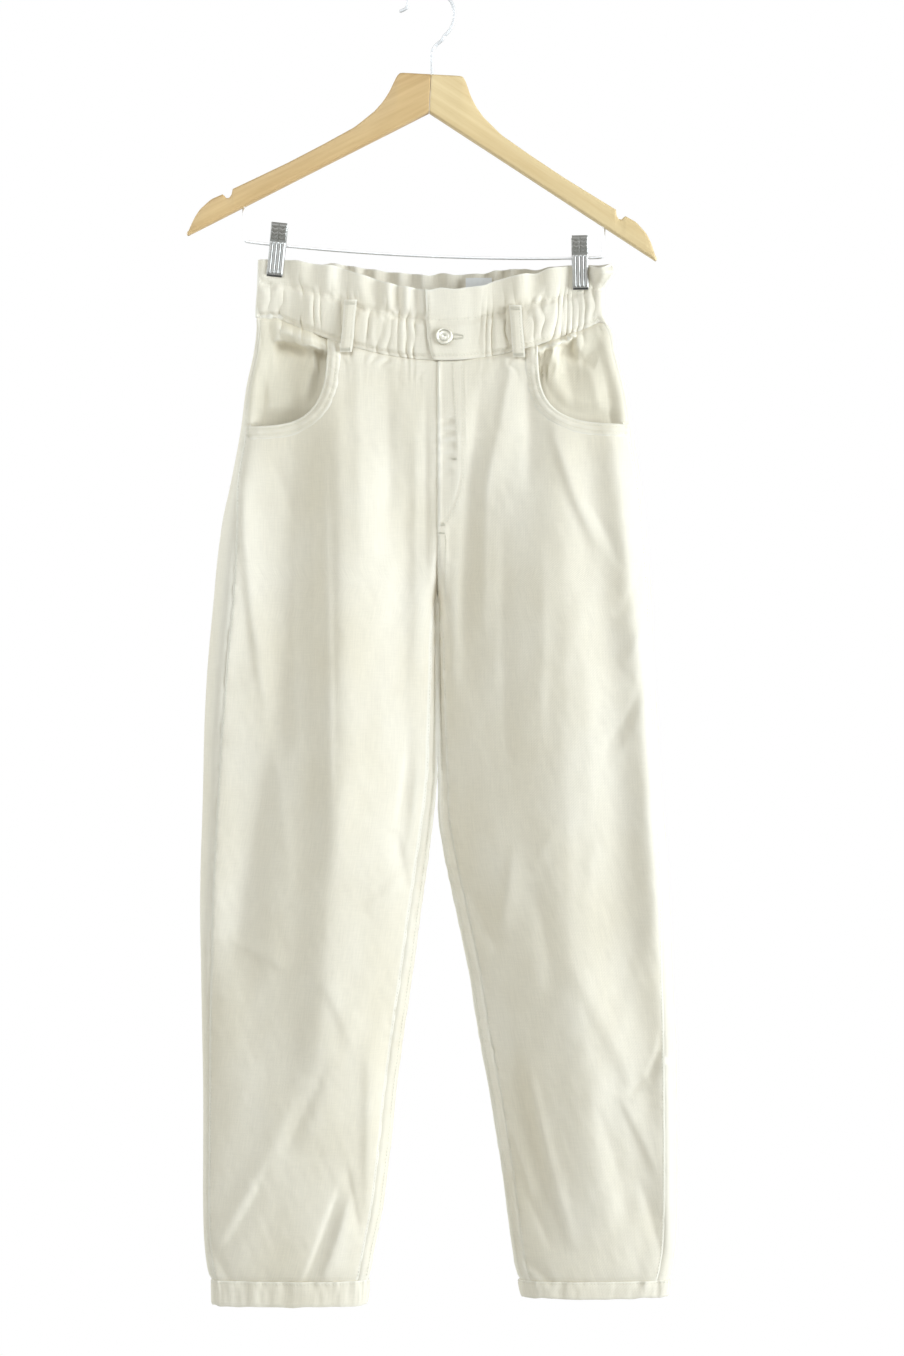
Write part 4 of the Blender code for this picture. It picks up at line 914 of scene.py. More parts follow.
def cloudy_finish(name, scale, colors, rough, detail=2.0, settings=(), distance=None):
    """A finish whose colour, roughness and small bumps follow one cloudy noise."""
    made = Finish(name, rough[0], settings=settings)
    cloud = made.noise(made.place("Object"), scale, detail=detail)
    color = made.mix(cloud, *colors)
    bumps = {} if distance is None else {"height": cloud, "distance": distance}
    return made.finish(color, made.between(cloud, *rough), **bumps)


def label_finish():
    made = Finish("label_cloth", 0.7)
    across = made.wave(made.place("UV"), WEAVE_PERIOD)
    down = made.wave(made.place("UV", turn=90.0), WEAVE_PERIOD)
    weave = made.math("MULTIPLY", across, down)
    color = made.mix(weave, (0.78, 0.78, 0.78), (0.86, 0.86, 0.85))
    return made.finish(color, made.between(weave, 0.62, 0.78), weave, strength=0.25, distance=0.0003)


def wood_finish(name, pale, deep, fleck):
    """Lacquered beech: long soft bands along the grain and the short dark rays of the wood."""
    made = Finish(name, 0.50, settings=WOOD_LACQUER)
    bands = made.noise(made.place("UV", (0.06, 1.0, 1.0)), 170.0, detail=4.0, roughness=0.55)
    broad = made.noise(made.place("UV", (0.25, 1.0, 1.0)), 26.0)
    rays = made.noise(made.place("UV", (0.13, 1.0, 1.0)), 1100.0, detail=1.0)
    tone = made.total(bands, 0.6, broad, 0.5)
    base = made.mix(made.between(tone, 0.0, 1.0, 0.4, 0.72), pale, deep)
    color = made.mix(made.between(rays, 0.0, 0.12, 0.62, 0.74), base, fleck)
    return made.finish(color, made.between(bands, 0.44, 0.58), bands, strength=0.03, distance=0.0003)


def metal_finish(name, color, roughness, spread, dark=0.85, scale=300.0):
    """Metal with a faint cloudy polish, so that its gloss is uneven."""
    made = Finish(name, roughness, metallic=1.0)
    cloud = made.noise(made.place("Object"), scale, detail=4.0, roughness=0.6)
    deeper = tuple(channel * dark for channel in color)
    tone = made.mix(made.between(cloud, 0.0, 1.0, 0.35, 0.65), color, deeper)
    rough = made.between(cloud, roughness - spread, roughness + spread, 0.35, 0.65)
    return made.finish(tone, rough, cloud, strength=0.06, distance=0.0003)


# The last colour of each denim is that of its paler ridges: partly wear, partly painted highlight.
DENIM = denim_finish("cream_denim", (0.806, 0.753, 0.646), (0.768, 0.706, 0.578), (0.84, 0.81, 0.74))
# A darker, warmer copy of the cream denim for the pocket facings: painted shade for the inside of the
# pockets.
DENIM_SHADED_FACING = denim_finish(
    "cream_denim_painted_shade_facing", (0.800, 0.742, 0.612), (0.755, 0.692, 0.555), (0.82, 0.78, 0.69)
)
THREAD = cloudy_finish(
    "sewing_thread", 380.0, ((0.70, 0.665, 0.55), (0.80, 0.77, 0.67)), (0.7, 0.9), settings=THREAD_SHEEN,
    distance=0.0002,
)
LABEL = label_finish()
BEECH_DARK = wood_finish("beech_browner", (0.64, 0.455, 0.225), (0.50, 0.325, 0.140), (0.36, 0.21, 0.08))
BEECH_LIGHT = wood_finish("beech_paler", (0.76, 0.600, 0.340), (0.64, 0.470, 0.235), (0.48, 0.31, 0.13))
HOOK_CHROME = metal_finish("hook_chrome", (0.56, 0.56, 0.555), 0.60, 0.05, dark=0.92)
BAR_CHROME = metal_finish("bar_chrome", (0.80, 0.80, 0.795), 0.50, 0.05, dark=0.95)
STEEL = metal_finish("clip_steel_worn", (0.35, 0.347, 0.328), 0.34, 0.05)
BUTTON_METAL = metal_finish("button_satin", (0.68, 0.655, 0.565), 0.50, 0.08, scale=900.0)
RUBBER = cloudy_finish(
    "clip_rubber_worn", 600.0, ((0.030, 0.030, 0.032), (0.075, 0.073, 0.070)), (0.6, 0.85), detail=3.0,
    distance=0.0003,
)
STAGE = cloudy_finish("studio_floor", 2.0, ((0.86, 0.86, 0.86), (0.90, 0.90, 0.90)), (0.85, 0.95))


# ---------------------------------------------------------------- panels

MOUTH_ROWS = 44
MOUTH_COLUMNS = 36
INNER_COLUMNS = 60
ROW_STEP = 0.0028
BACK_ROW_STEP = 0.0036
ROWS_PAST_HEM = 0.0025
BACK_COLUMNS = 92
EDGE_COLUMNS = 9
INSEAM_COLUMNS = 7
DIP_FADE = 0.052
MOUTH_BLEND = 0.030
MOUTH_ABOVE = (-0.03, -0.015)
MOUTH_ENDS = 0.030
GAPE_END = 1.28
UNDER_CENTRE = 0.0052
UNDER_FADE = (0.568, 0.582)
BACK_UNDER = 0.0048
BACK_UNDER_FADE = (0.545, 0.575)

# How deep each panel's edges are tucked under the next piece, and where
TUCK_TOP = 0.003
TUCK_SIDE = 0.004
TUCK_DEPTH = 0.0016
TUCK_FADE = (WAIST_SEAM + 0.0005, WAIST_SEAM + 0.0045)
HEM_TUCK = 0.0013
HEM_TUCK_FADE = (HEM_TOP - 0.0035, HEM_TOP)
HALF_HIDDEN = 0.35
EDGE_CROWDING = 0.8
BACK_FELLED = 0.0006
INSEAM_PROUD = 0.0005
CENTRE_TUCK = 0.0004
CENTRE_TUCK_FADE = (-0.0010, 0.0030)
CENTRE_FADE = (0.560, 0.583)

# The seams' grooves and the puckers beside them
PUCKER_HEIGHT = 0.00042
PUCKER_PITCH = 0.0065
PUCKER_TALL = 0.006
PUCKER_REACH = 0.007
PUCKER_SHIFT = 7.3
PUCKER_SEEDS = {"side": 3, "inseam": 4, "fly": 5, "back_centre": 6}
SIDE_GROOVE = (0.0004, 0.0012)
SIDE_GROOVE_START = (0.40, 0.43)
INSEAM_GROOVE = (0.0003, 0.0013)
INSEAM_FADE = (CROTCH, CROTCH + 0.020)
BACK_INSEAM_FADE = (CROTCH, CROTCH + 0.025)
FELLED_EDGE = (0.0088, 0.0102)
FELLED_START = (FLY_END - 0.004, FLY_END)
FELLED_END = (CROTCH - 0.002, CROTCH + 0.012)
FELLED_MIDDLE = 0.0085
FELLED_PUCKERS = (FLY_END - 0.010, FLY_END)
FLY_FOOT = 0.0052
FLY_FOOT_ABOVE = 0.003
FLY_EDGE = (0.0002, 0.0016)
FLY_FADE = (FLY_END - 0.002, FLY_END + 0.002)
FLY_STITCH_IN = 0.0012
FLY_STITCH_REACH = 0.0011
FLY_RIDGE = (0.0014, 0.0015)
FLY_LIP = (0.0002, 0.0006)
FLY_LIP_SHARE = 0.7
FLY_STEPS = {"fly": 0.0005, "felled": 0.0007, "stitched": 0.0009, "edge": 0.0010}
FLY_ROWS = 150
FLY_COLUMNS = 22
FLY_BEHIND = 0.0017
FLY_LAYER_DROPS = (WAIST_SEAM - 0.002, FLY_END - 0.012)
FLY_LAYER_IN = 0.0006
FLY_LAYER_SPREAD = (0.0008, 0.018)
FLY_LAYER_AHEAD = 0.004
FLY_LAYER_NARROWER = 0.002

# The bunched cloth at the top of each pocket: where it is, and how far down it comes
BUNCH = {
    RIGHT: {"start": -0.146, "end": -0.088, "from": 0.0235, "to": 0.0140, "height": 0.0042, "hollow": 0.0036},
    LEFT: {"start": 0.096, "end": 0.142, "from": 0.0100, "to": 0.0060, "height": 0.0032, "hollow": 0.0034},
}
BUNCH_FADE = 0.004
SCALLOP_HEIGHT = 0.0016
SCALLOP_PITCH = 0.0125
BULGE_RISE = 0.6
BULGE_END = (-0.0022, 0.0012)
HOLLOW_START = (-0.0012, 0.0020)
HOLLOW_END = (0.004, 0.042)
FACING_ROWS = 84
FACING_COLUMNS = 78
# How far the pocket sinks behind the front, over which shares of the mouth, and how much of it comes back
FACING_RECESS = {"right": (0.0078, 0.15, 0.72, 0.15), "left": (0.0064, 0.10, 0.85, 0.0)}
FACING_RISE_END = 0.97
FACING_SINK = (WAIST_SEAM + 0.002, WAIST_SEAM + 0.030)
FACING_SIDE = (0.002, 0.014)
FACING_CREASES_IN = 0.012
FACING_LIP = 0.0018
FACING_LIP_AT = (0.955, 0.985)

# The pocket's hem: how far each row lies outside the mouth's edge, and how high
HEM_PROFILE = (
    (-0.0007, -0.0002), (-0.0006, 0.0006), (0.0002, 0.0013), (0.0011, 0.0014), (0.0022, 0.0009),
    (0.0034, 0.0014), (0.0052, 0.0016), (0.0070, 0.0014), (0.0084, 0.0008), (0.0093, 0.0010),
    (0.0106, 0.0006), (0.0120, 0.0001),
)
HEM_ROWS = ((0.0022, 0.0009), (0.0084, 0.0008))
HEM_COUNT = 190
MOUTH_SAMPLES = 3000
WRINKLE = {"height": 0.00038, "wide": 0.0052, "tall": 0.006, "start": 0.002, "seed": 8}

# The leg's hem: where its rows lie, as shares of its height, its puckers and its rounded edges
LEG_HEM_SHARES = (0.0, 0.04, 0.09, 0.15, 0.25, 0.4, 0.55, 0.7, 0.82, 0.91, 0.97, 1.0)
LEG_HEM_COLUMNS = 300
LEG_HEM_POINTS = 1500
LEG_HEM_SEEDS = {RIGHT: 51, LEFT: 61}
LEG_HEM_PROUD = 0.0005
LEG_HEM_CROWN = 0.0006
LEG_HEM_STITCHED = 0.10
LEG_HEM_GROOVE = (0.0006, 0.10)
LEG_HEM_LEAN = 0.006
LEG_HEM_FOLDS = 46.0
LEG_HEM_FINE_FOLDS = 95.0
LEG_HEM_FINE_SHARE = 0.6
LEG_HEM_FINE_ROWS = 1.5
LEG_HEM_PUCKER = 0.0007
LEG_HEM_FADE = (1.25, 0.8)
LEG_HEM_ROUNDED = ((0.0009, 0.06), (0.0008, 0.93))
LEG_HEM_WAVE = (0.0007, 33.0)


def keep_piece(piece, replaced=()):
    """Attaches the piece to its body and hides the nodes that it stands for."""
    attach(piece, BODY)
    if replaced:
        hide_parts(*replaced)
    return piece


def add_cloth(node, middle, out, wall=WALL, material=DENIM, slot="denim", **options):
    """A piece of cloth that stands for the node of its name."""
    piece = add_wall(f"jeans_{node}", middle, out, wall, material, **options)
    keep_piece(piece, (node,))


def rows_of(values, count):
    """A grid whose rows each hold one value, count times."""
    return np.tile(values[:, None], (1, count))


def facing(points, way):
    """The same direction along Y for each of the points."""
    return np.tile(np.array([0.0, way, 0.0]), points.shape[:2] + (1,))


def waist_tuck(drop):
    return TUCK_DEPTH * fall(drop, *TUCK_FADE)


def hem_tuck(drop):
    return HEM_TUCK * ramp(drop, *HEM_TUCK_FADE)


def groove(near, deep, width):
    """The line that a seam sinks into the cloth."""
    return deep * bell(near, width)


def pucker(near, along, seam):
    """Small puckers beside a line of stitching."""
    seed = PUCKER_SEEDS[seam]
    hill = noise(along / PUCKER_PITCH + seed * PUCKER_SHIFT, near / PUCKER_TALL, seed)
    return PUCKER_HEIGHT * hill * bell(near, PUCKER_REACH)


def superellipse(value):
    return (1 - np.clip(value, 0.0, 1.0) ** MOUTH_POWER) ** (1 / MOUTH_POWER)


def mouth_shape(side, name):
    """Distances from the centre of the pocket mouth's top and of the side seam, and the mouth's height."""
    low = np.array([MOUTH_DROP[name]])
    reach = float((span_of(side, low) - smooth(low, INSETS, f"{name}_side"))[0])
    return abs(MOUTH_TOP_X[name] - CENTRE), reach, MOUTH_DROP[name] - WAIST_SEAM


def mouth_share(side, name, distance, drop):
    """1 on the edge of the pocket's mouth, less inside the mouth and more outside it."""
    top, reach, height = mouth_shape(side, name)
    beside = np.clip((reach - distance) / (reach - top), 0.0, None)
    below = np.clip((drop - WAIST_SEAM) / height, 0.0, None)
    return (beside**MOUTH_POWER + below**MOUTH_POWER) ** (1 / MOUTH_POWER)


def mouth_gape(side, name, distance, drop):
    """How far the pocket's edge stands off, most in the middle of its curve."""
    _, reach, _ = mouth_shape(side, name)
    near = fall(mouth_share(side, name, distance, drop), 1.0, GAPE_END)
    ends = ramp(drop, WAIST_SEAM, WAIST_SEAM + MOUTH_ENDS) * ramp(reach - distance, 0.0, MOUTH_ENDS)
    return MOUTH_GAPE * near * ends


def fly_width(hang):
    """The fly's stitched width: straight, then curving in to its foot above the crotch."""
    past = np.clip((hang - FLY_CURVE_START) / (FLY_END - FLY_FOOT_ABOVE - FLY_CURVE_START), 0.0, 1.0)
    return np.maximum(FLY_WIDTH * np.sqrt(1 - past**2), FLY_FOOT)


def panel_drops(start, step=ROW_STEP):
    """Drops of the rows from a start down to just inside the hem, at an even step."""
    end = HEM_TOP + ROWS_PAST_HEM
    return np.linspace(start, end, int((end - start) / step) + 1)


def front_grid(side, name):
    """Turns and drops of the front's points, with the pocket mouth's corner left out."""
    top, reach, height = mouth_shape(side, name)
    corner = float(superellipse(MOUTH_CORNER))
    down = np.concatenate([MOUTH_ABOVE, np.linspace(0.0, corner, MOUTH_ROWS + 1)])
    mouth_drops = WAIST_SEAM + height * down
    drops = np.concatenate([mouth_drops, panel_drops(mouth_drops[-1])[1:]])
    last = len(mouth_drops) - 1
    beside = MOUTH_CORNER * np.linspace(1.0, 0.0, MOUTH_COLUMNS + 1)
    wide = reach - (reach - top) * MOUTH_CORNER
    inner_part = wide * np.linspace(0.0, 1.0, INNER_COLUMNS + 1)
    distances = np.concatenate([inner_part, (reach - (reach - top) * beside)[1:]])
    fractions = distances / reach
    dip = height * (superellipse(beside) - corner)
    share = np.tile(fractions, (len(drops), 1))
    drop = rows_of(drops, len(fractions))
    keep = np.ones(drop.shape, dtype=bool)
    mouth = reach - (reach - top) * superellipse(down[:last])
    share[:last, : INNER_COLUMNS + 1] = fractions[None, : INNER_COLUMNS + 1] * mouth[:, None] / wide
    keep[:last, INNER_COLUMNS + 1 :] = False
    fade = fall(drops[last:], drops[last], drops[last] + DIP_FADE)
    drop[last:, INNER_COLUMNS:] += dip[None, :] * fade[:, None]
    shut = closing(drop, FRONT_DIVE)
    low = across_of(inner_turn(side, drop) * (drop > CROTCH), shut)
    high = across_of(side_turn(side, name, drop), shut)
    spread = ramp(drop, MOUTH_DROP[name] - MOUTH_BLEND, MOUTH_DROP[name])
    across = share * reach / span_of(side, drop) * (1 - spread) + mix(low, high, share) * spread
    return turn_of(np.clip(across, 0.0, 1.0), shut), drop, keep, low, high


def add_front(name, side):
    turn, *grids = front_grid(side, name)
    if side == RIGHT:
        # Two columns more, which run under the other front.
        under = UNDER_CENTRE * fall(grids[0][:, :1], *UNDER_FADE)
        turn = np.concatenate([turn[:, :1] - under, turn[:, :1] - under / 2, turn], axis=1)
        grids = [np.concatenate([grid[:, :1], grid[:, :1], grid], axis=1) for grid in grids]
    drop, keep, low, high = grids
    middle, out = ring(side, turn, drop)
    span = span_of(side, drop)
    across = across_of(turn, closing(drop, FRONT_DIVE))
    distance = across * span
    to_side = (high - across) * span
    to_inseam = (across - low) * span
    beside_seam = pucker(to_side, drop, "side") - groove(to_side, *SIDE_GROOVE)
    beside_inseam = pucker(to_inseam, drop, "inseam") - groove(to_inseam, *INSEAM_GROOVE)
    shift = mouth_gape(side, name, distance, drop) - waist_tuck(drop) - hem_tuck(drop)
    shift = shift + beside_seam * ramp(drop, *SIDE_GROOVE_START) + beside_inseam * ramp(drop, *INSEAM_FADE)
    if side == RIGHT:
        shift = shift - CENTRE_TUCK * fall(distance, *CENTRE_TUCK_FADE) * fall(drop, *CENTRE_FADE)
    else:
        shift = shift + fly_and_seam_relief(distance, -middle[..., 2])
    add_cloth(f"front_{name}", moved(middle, out, shift), out, keep=keep)


def fly_and_seam_relief(distance, hang):
    """The double cloth of the fly and of the felled seam below it."""
    past_fly = distance - fly_width(hang)
    below_fly = ramp(hang, *FELLED_START)
    ridge_at, ridge_reach = FLY_RIDGE
    lip_at, lip_reach = FLY_LIP
    ridge = bell(distance - ridge_at, ridge_reach) * (1 - below_fly)
    steps = {
        "fly": fall(past_fly, *FLY_EDGE) * fall(hang, *FLY_FADE),
        "felled": fall(distance, *FELLED_EDGE) * below_fly * fall(hang, *FELLED_END),
        "stitched": -bell(past_fly + FLY_STITCH_IN, FLY_STITCH_REACH) * (hang < FLY_END),
        "edge": ridge - FLY_LIP_SHARE * bell(distance + lip_at, lip_reach),
    }
    puckers = pucker(np.abs(distance - FELLED_MIDDLE), hang, "fly") * ramp(hang, *FELLED_PUCKERS)
    return sum(FLY_STEPS[name] * step for name, step in steps.items()) + puckers


def add_fly():
    """The fly's inner layer, folded back behind the edge of the front."""
    drop = rows_of(np.linspace(*FLY_LAYER_DROPS, FLY_ROWS), FLY_COLUMNS)
    share = np.linspace(0.0, 1.0, FLY_COLUMNS)
    near, wide = FLY_LAYER_SPREAD
    first, _ = on_front(LEFT, near + wide * share, drop)
    width = fly_width(FLY_LAYER_AHEAD - first[:, :1, 2]) - FLY_LAYER_NARROWER
    middle, out = on_front(LEFT, FLY_LAYER_IN + width * share, drop)
    add_cloth("fly", moved(middle, out, -FLY_BEHIND), out, STRIP_WALL)


def add_back(name, side):
    drops = panel_drops(WAIST_SEAM - TUCK_TOP, BACK_ROW_STEP)
    column = drops[:, None]
    seam = side_turn(side, name, column)
    tuck = side_turn(side, name, column, TUCK_SIDE)
    edge = mix(seam, 0.5, np.linspace(0.0, 1.0, EDGE_COLUMNS) ** EDGE_CROWDING)
    shares = (1 + np.cos(math.pi * np.linspace(0.0, 1.0, BACK_COLUMNS))) / 2
    shares = np.tile(shares[1:-1], (len(drops), 1))
    between = 1.0 - turn_of(shares, closing(column, BACK_DIVE))
    inseam = inner_turn(side, column) * (column > CROTCH)
    leg = ramp(column, *BACK_INSEAM_FADE)
    under = mix(inseam, inner_turn(side, column, TUCK_SIDE), leg)
    if side == LEFT:
        under = under + BACK_UNDER * fall(column, *BACK_UNDER_FADE)
    after = inseam * np.linspace(0.0, 1.0, INSEAM_COLUMNS)
    tail = mix(after[:, -1:], under, np.array([[0.5, 1.0]]))
    first = [tuck, mix(seam, tuck, HALF_HIDDEN), edge[:, :-1]]
    turn = np.concatenate(first + [between, 1 + after, 1 + tail], axis=1)
    drop = rows_of(drops, turn.shape[1])
    middle, out = ring(side, turn, drop)
    hidden = np.zeros(turn.shape)
    hidden[:, (0, 1, -2, -1)] = 1.0
    hidden[:, 2] = HALF_HIDDEN
    to_centre = np.abs(middle[..., 0] - inner_and_outer(side, drop)[0])
    rise = ((turn > 0.5) & (turn <= 1.0)) * fall(drop, CENTRE_FADE[0], CROTCH)
    felled = fall(to_centre, *FELLED_EDGE) * rise * (side == RIGHT)
    on_edge = (turn > 1.0) & (hidden < 1)
    shift = -TUCK_DEPTH * hidden - waist_tuck(drop) * (hidden < 1) - hem_tuck(drop)
    shift = shift + BACK_FELLED * felled + pucker(to_centre, drop, "back_centre") * rise
    shift = shift + on_edge * (INSEAM_PROUD + hills("side_seam", drop)) * leg
    add_cloth(f"back_{name}", moved(middle, out, shift), out)


def bunched_top(side, x, drop):
    """The facing's gathered top, which bulges over a scalloped lower edge, and the hollow under it."""
    bunch = BUNCH[side]
    start, end = bunch["start"], bunch["end"]
    share = np.clip((x - start) / (end - start), 0.0, 1.0)
    near = ramp(x, start - BUNCH_FADE, start + BUNCH_FADE) * fall(x, end - BUNCH_FADE, end)
    scallops = SCALLOP_HEIGHT * np.abs(np.sin(math.pi * x / SCALLOP_PITCH)) + hills("bunch_edge", x)
    edge = mix(bunch["from"], bunch["to"], share) + scallops
    down = drop - WAIST_SEAM
    bulge = ramp(down, 0.0, BULGE_RISE * edge) * fall(down - edge, *BULGE_END)
    hollow = ramp(down - edge, *HOLLOW_START) * fall(down - edge, *HOLLOW_END)
    return near * (bunch["height"] * bulge - bunch["hollow"] * hollow)


def add_facing(name, side):
    """The denim seen in the pocket mouth: behind the front, and level with it at the side seam."""
    top = mouth_shape(side, name)[0]
    drops = np.linspace(WAIST_SEAM - TUCK_TOP, MOUTH_DROP[name] + FACING_MARGIN, FACING_ROWS)
    drop = rows_of(drops, FACING_COLUMNS)
    span = span_of(side, drop)
    high = 1.0 - smooth(drop, INSETS, f"{name}_side") / span
    across = mix((top - FACING_MARGIN) / span, high, np.linspace(0.0, 1.0, FACING_COLUMNS))
    share = mouth_share(side, name, across * span, drop)
    cover = ramp(share, *FACING_COVER)
    to_side = (high - across) * span
    beside = ramp(to_side, *FACING_SIDE)
    middle, out = ring(side, turn_of(across, closing(drop, FRONT_DIVE)), drop)
    x = middle[..., 0]
    creases = crease_relief(FACING_CREASES, x, -middle[..., 2], 1.0) * (1 - cover)
    creases = creases + bunched_top(side, x, drop)
    deepest, start, end, rising = FACING_RECESS[name]
    recess = deepest * (ramp(share, start, end) - rising * ramp(share, end, FACING_RISE_END))
    recess = recess * ramp(drop, *FACING_SINK)
    lip = FACING_LIP * ramp(share, *FACING_LIP_AT)
    shift = creases * ramp(to_side, 0.0, FACING_CREASES_IN) - mix(lip, FACING_BACK * cover + recess, beside)
    shift = shift - waist_tuck(drop) * (1 - cover)
    # The facing takes the darker copy of the denim: painted shade of the pocket's inside.
    add_cloth(f"pocket_facing_{name}", moved(middle, out, shift), out, WALL, DENIM_SHADED_FACING, "denim_inside")


def mouth_points(side, name, offset, count, lift):
    """Points on the front beside the pocket's edge, moved outward by an offset, and what they face."""
    top, reach, height = mouth_shape(side, name)
    angle = np.linspace(0.0, math.pi / 2, MOUTH_SAMPLES)
    distance = reach - (reach - top) * np.cos(angle) ** (2 / MOUTH_POWER)
    drop = WAIST_SEAM + height * np.sin(angle) ** (2 / MOUTH_POWER)
    run = np.concatenate([[0.0], np.cumsum(np.hypot(np.diff(distance), np.diff(drop)))])
    at = np.linspace(0.0, run[-1], count)
    distance = np.interp(at, run, distance)
    drop = np.interp(at, run, drop)
    across = np.gradient(distance)
    down = np.gradient(drop)
    length = np.hypot(across, down)
    distance, drop = distance - down / length * offset, drop + across / length * offset
    middle, out = on_front(side, distance, drop)
    stand = lift + mouth_gape(side, name, distance, drop) - waist_tuck(drop)
    return moved(middle, out, stand), out, at


def add_pocket_hem(name, side):
    """The turned hem of the pocket's mouth, sewn down with two rows of stitches."""
    points = []
    outs = []
    for offset, lift in HEM_PROFILE:
        row, out, at = mouth_points(side, name, offset, HEM_COUNT, lift)
        wrinkle = WRINKLE["height"] * noise(at / WRINKLE["wide"], offset / WRINKLE["tall"], WRINKLE["seed"])
        points.append(moved(row, out, wrinkle * np.clip(offset / WRINKLE["start"], 0.0, 1.0)))
        outs.append(out)
    add_cloth(f"pocket_hem_{name}", np.stack(points, axis=1), np.stack(outs, axis=1), STRIP_WALL)


def hem_relief(side, turn, share):
    """A leg's hem: its crown, and its puckers, which are strongest at its stitched upper edge."""
    seed = LEG_HEM_SEEDS[side]
    lean = turn + LEG_HEM_LEAN * share
    folds = noise(lean * LEG_HEM_FOLDS, 0.0, seed)
    fine_folds = noise(lean * LEG_HEM_FINE_FOLDS, share * LEG_HEM_FINE_ROWS, seed + 1)
    most, less = LEG_HEM_FADE
    puckers = LEG_HEM_PUCKER * (folds + LEG_HEM_FINE_SHARE * fine_folds) * (most - less * share)
    puckers = puckers - groove(share - LEG_HEM_STITCHED, *LEG_HEM_GROOVE)
    return LEG_HEM_PROUD + LEG_HEM_CROWN * np.sin(math.pi * share) + puckers


def hem_drop(name, share):
    return mix(HEM_TOP, HEM_END[name], share)


def add_leg_hem(name, side):
    """The turned hem: a thicker band below the panels, all round the leg."""
    share = rows_of(np.array(LEG_HEM_SHARES), LEG_HEM_COLUMNS)
    turn = np.tile(np.linspace(0, 1, LEG_HEM_COLUMNS, endpoint=False), (len(share), 1))
    middle, out = ring(side, turn, hem_drop(name, share))
    (top, top_end), (foot, foot_start) = LEG_HEM_ROUNDED
    rounded = top * fall(share, 0.0, top_end) + foot * ramp(share, foot_start, 1.0)
    middle = moved(middle, out, hem_relief(side, turn, share) - rounded)
    height, waves = LEG_HEM_WAVE
    middle[..., 2] += height * noise(turn * waves, 0.0, LEG_HEM_SEEDS[side] + 4) * share
    add_cloth(f"hem_{name}", middle, out, HEM_WALL, closed=True)


# ---------------------------------------------------------------- waist

WAIST_ROWS = 62
WAIST_COLUMNS = 270
WAIST_BACK_COLUMNS = 200
UNDER_COLUMNS = 18
TAB_COLUMNS = 66
WAIST_BOTTOM = 0.3162
WAIST_DROPS = np.linspace(FRILL_TOP, WAIST_BOTTOM, WAIST_ROWS)
WAIST_PROUD = 0.0007
WAIST_TURNED_IN = 0.0010
WAIST_TURN_HEIGHT = 0.0014
TAB_ROLL = ((-0.0006, 0.0, 0.0009), (0.0004, 0.004, 0.003))


def waist_shift(drop):
    """The waist stands a little proud of the panels, and its lower edge is turned in."""
    return WAIST_PROUD - WAIST_TURNED_IN * ramp(drop, WAIST_BOTTOM - WAIST_TURN_HEIGHT, WAIST_BOTTOM)


def add_waist(name, side, turn):
    """A piece of the waist on the given turns of the ring."""
    drop = rows_of(WAIST_DROPS, turn.shape[1])
    middle, out = ring(side, turn, drop)
    lift = waist_shift(drop) + (tab_lift(middle[..., 0], drop) if name == "front_left" else 0.0)
    add_cloth(f"waist_{name}", moved(middle, out, lift), out)


def even_across(count):
    """Places across half of the waist, a little closer together towards the side edge."""
    share = np.linspace(0.0, 1.0, count)
    return 0.5 * np.sin(math.pi * share / 2) + 0.5 * share


def add_waist_front_right():
    inner, outer = inner_and_outer(RIGHT, WAIST_DROPS[:, None])
    across = np.tile(even_across(WAIST_COLUMNS)[::-1], (WAIST_ROWS, 1))
    under = (np.linspace(CENTRE, TAB_UNDER, UNDER_COLUMNS)[1:] - inner) / (outer - inner)
    add_waist("front_right", RIGHT, np.arcsin(np.concatenate([across, under], axis=1)) / math.pi)


def tab_edge(drop):
    """X of the tab's free edge."""
    drops, places = np.array(TAB_EDGE).T * MM
    return np.interp(drop, drops, places)


def tab_lift(x, drop):
    """The tab lies over the other side, and its edge curls up a little."""
    beside = x - tab_edge(drop)
    roll = sum(height * bell(beside - at, width) for height, at, width in TAB_ROLL)
    return TAB_RAISE * fall(x, TAB_FLAT, TAB_END) + roll


def add_waist_front_left():
    inner, outer = inner_and_outer(LEFT, WAIST_DROPS[:, None])
    tab_x = mix(tab_edge(WAIST_DROPS)[:, None], TAB_END, np.linspace(0.0, 1.0, TAB_COLUMNS))
    rest = mix((TAB_END - inner) / (outer - inner), 1, even_across(WAIST_COLUMNS)[1:])
    across = np.concatenate([(tab_x - inner) / (outer - inner), rest], axis=1)
    add_waist("front_left", LEFT, np.arcsin(np.clip(across, -1.0, 1.0)) / math.pi)


def add_waist_back():
    half = np.arcsin(even_across(WAIST_BACK_COLUMNS)) / math.pi
    turns = np.concatenate([1.0 - half[::-1], 1.0 - half[1:]])
    side = np.repeat([RIGHT, LEFT], [len(half), len(half) - 1])
    add_waist("back", side, np.tile(turns, (WAIST_ROWS, 1)))


# ---------------------------------------------------------------- loops, label and button

LOOP_WALL = 0.0018
LOOP_CLEAR = 0.0012
LOOP_BOW = 0.0014
LOOP_BOW_POWER = 0.7
LOOP_SEWN = (0.0004, 0.05)
LOOP_CROWN = (0.0009, 2.6)
LOOP_GROOVE_AT = 0.33
LOOP_GROOVE = (0.0003, 0.06)
LOOP_WAVER = (0.03, 9)
LOOP_ROWS = 64
LOOP_COLUMNS = 11
LOOP_SAMPLES = 13
LOOP_REACH = 0.6
LOOP_LEVEL = 11
LOOP_SMOOTH = 15
LOOP_STITCHES = (2, 8)
LOOP_TACKS = (3, 5, -4, -6)
LABEL_X = (0.036, 0.061)
LABEL_DROPS = (0.264, 0.292)
LABEL_ROWS = 24
LABEL_COLUMNS = 22
LABEL_WALL = 0.0008
LABEL_CLEAR = 0.0016
LABEL_SMOOTH = 7
BUTTON_STEPS = 56
BUTTON_STAND = 0.0012
CORNER_CUT = 0.25
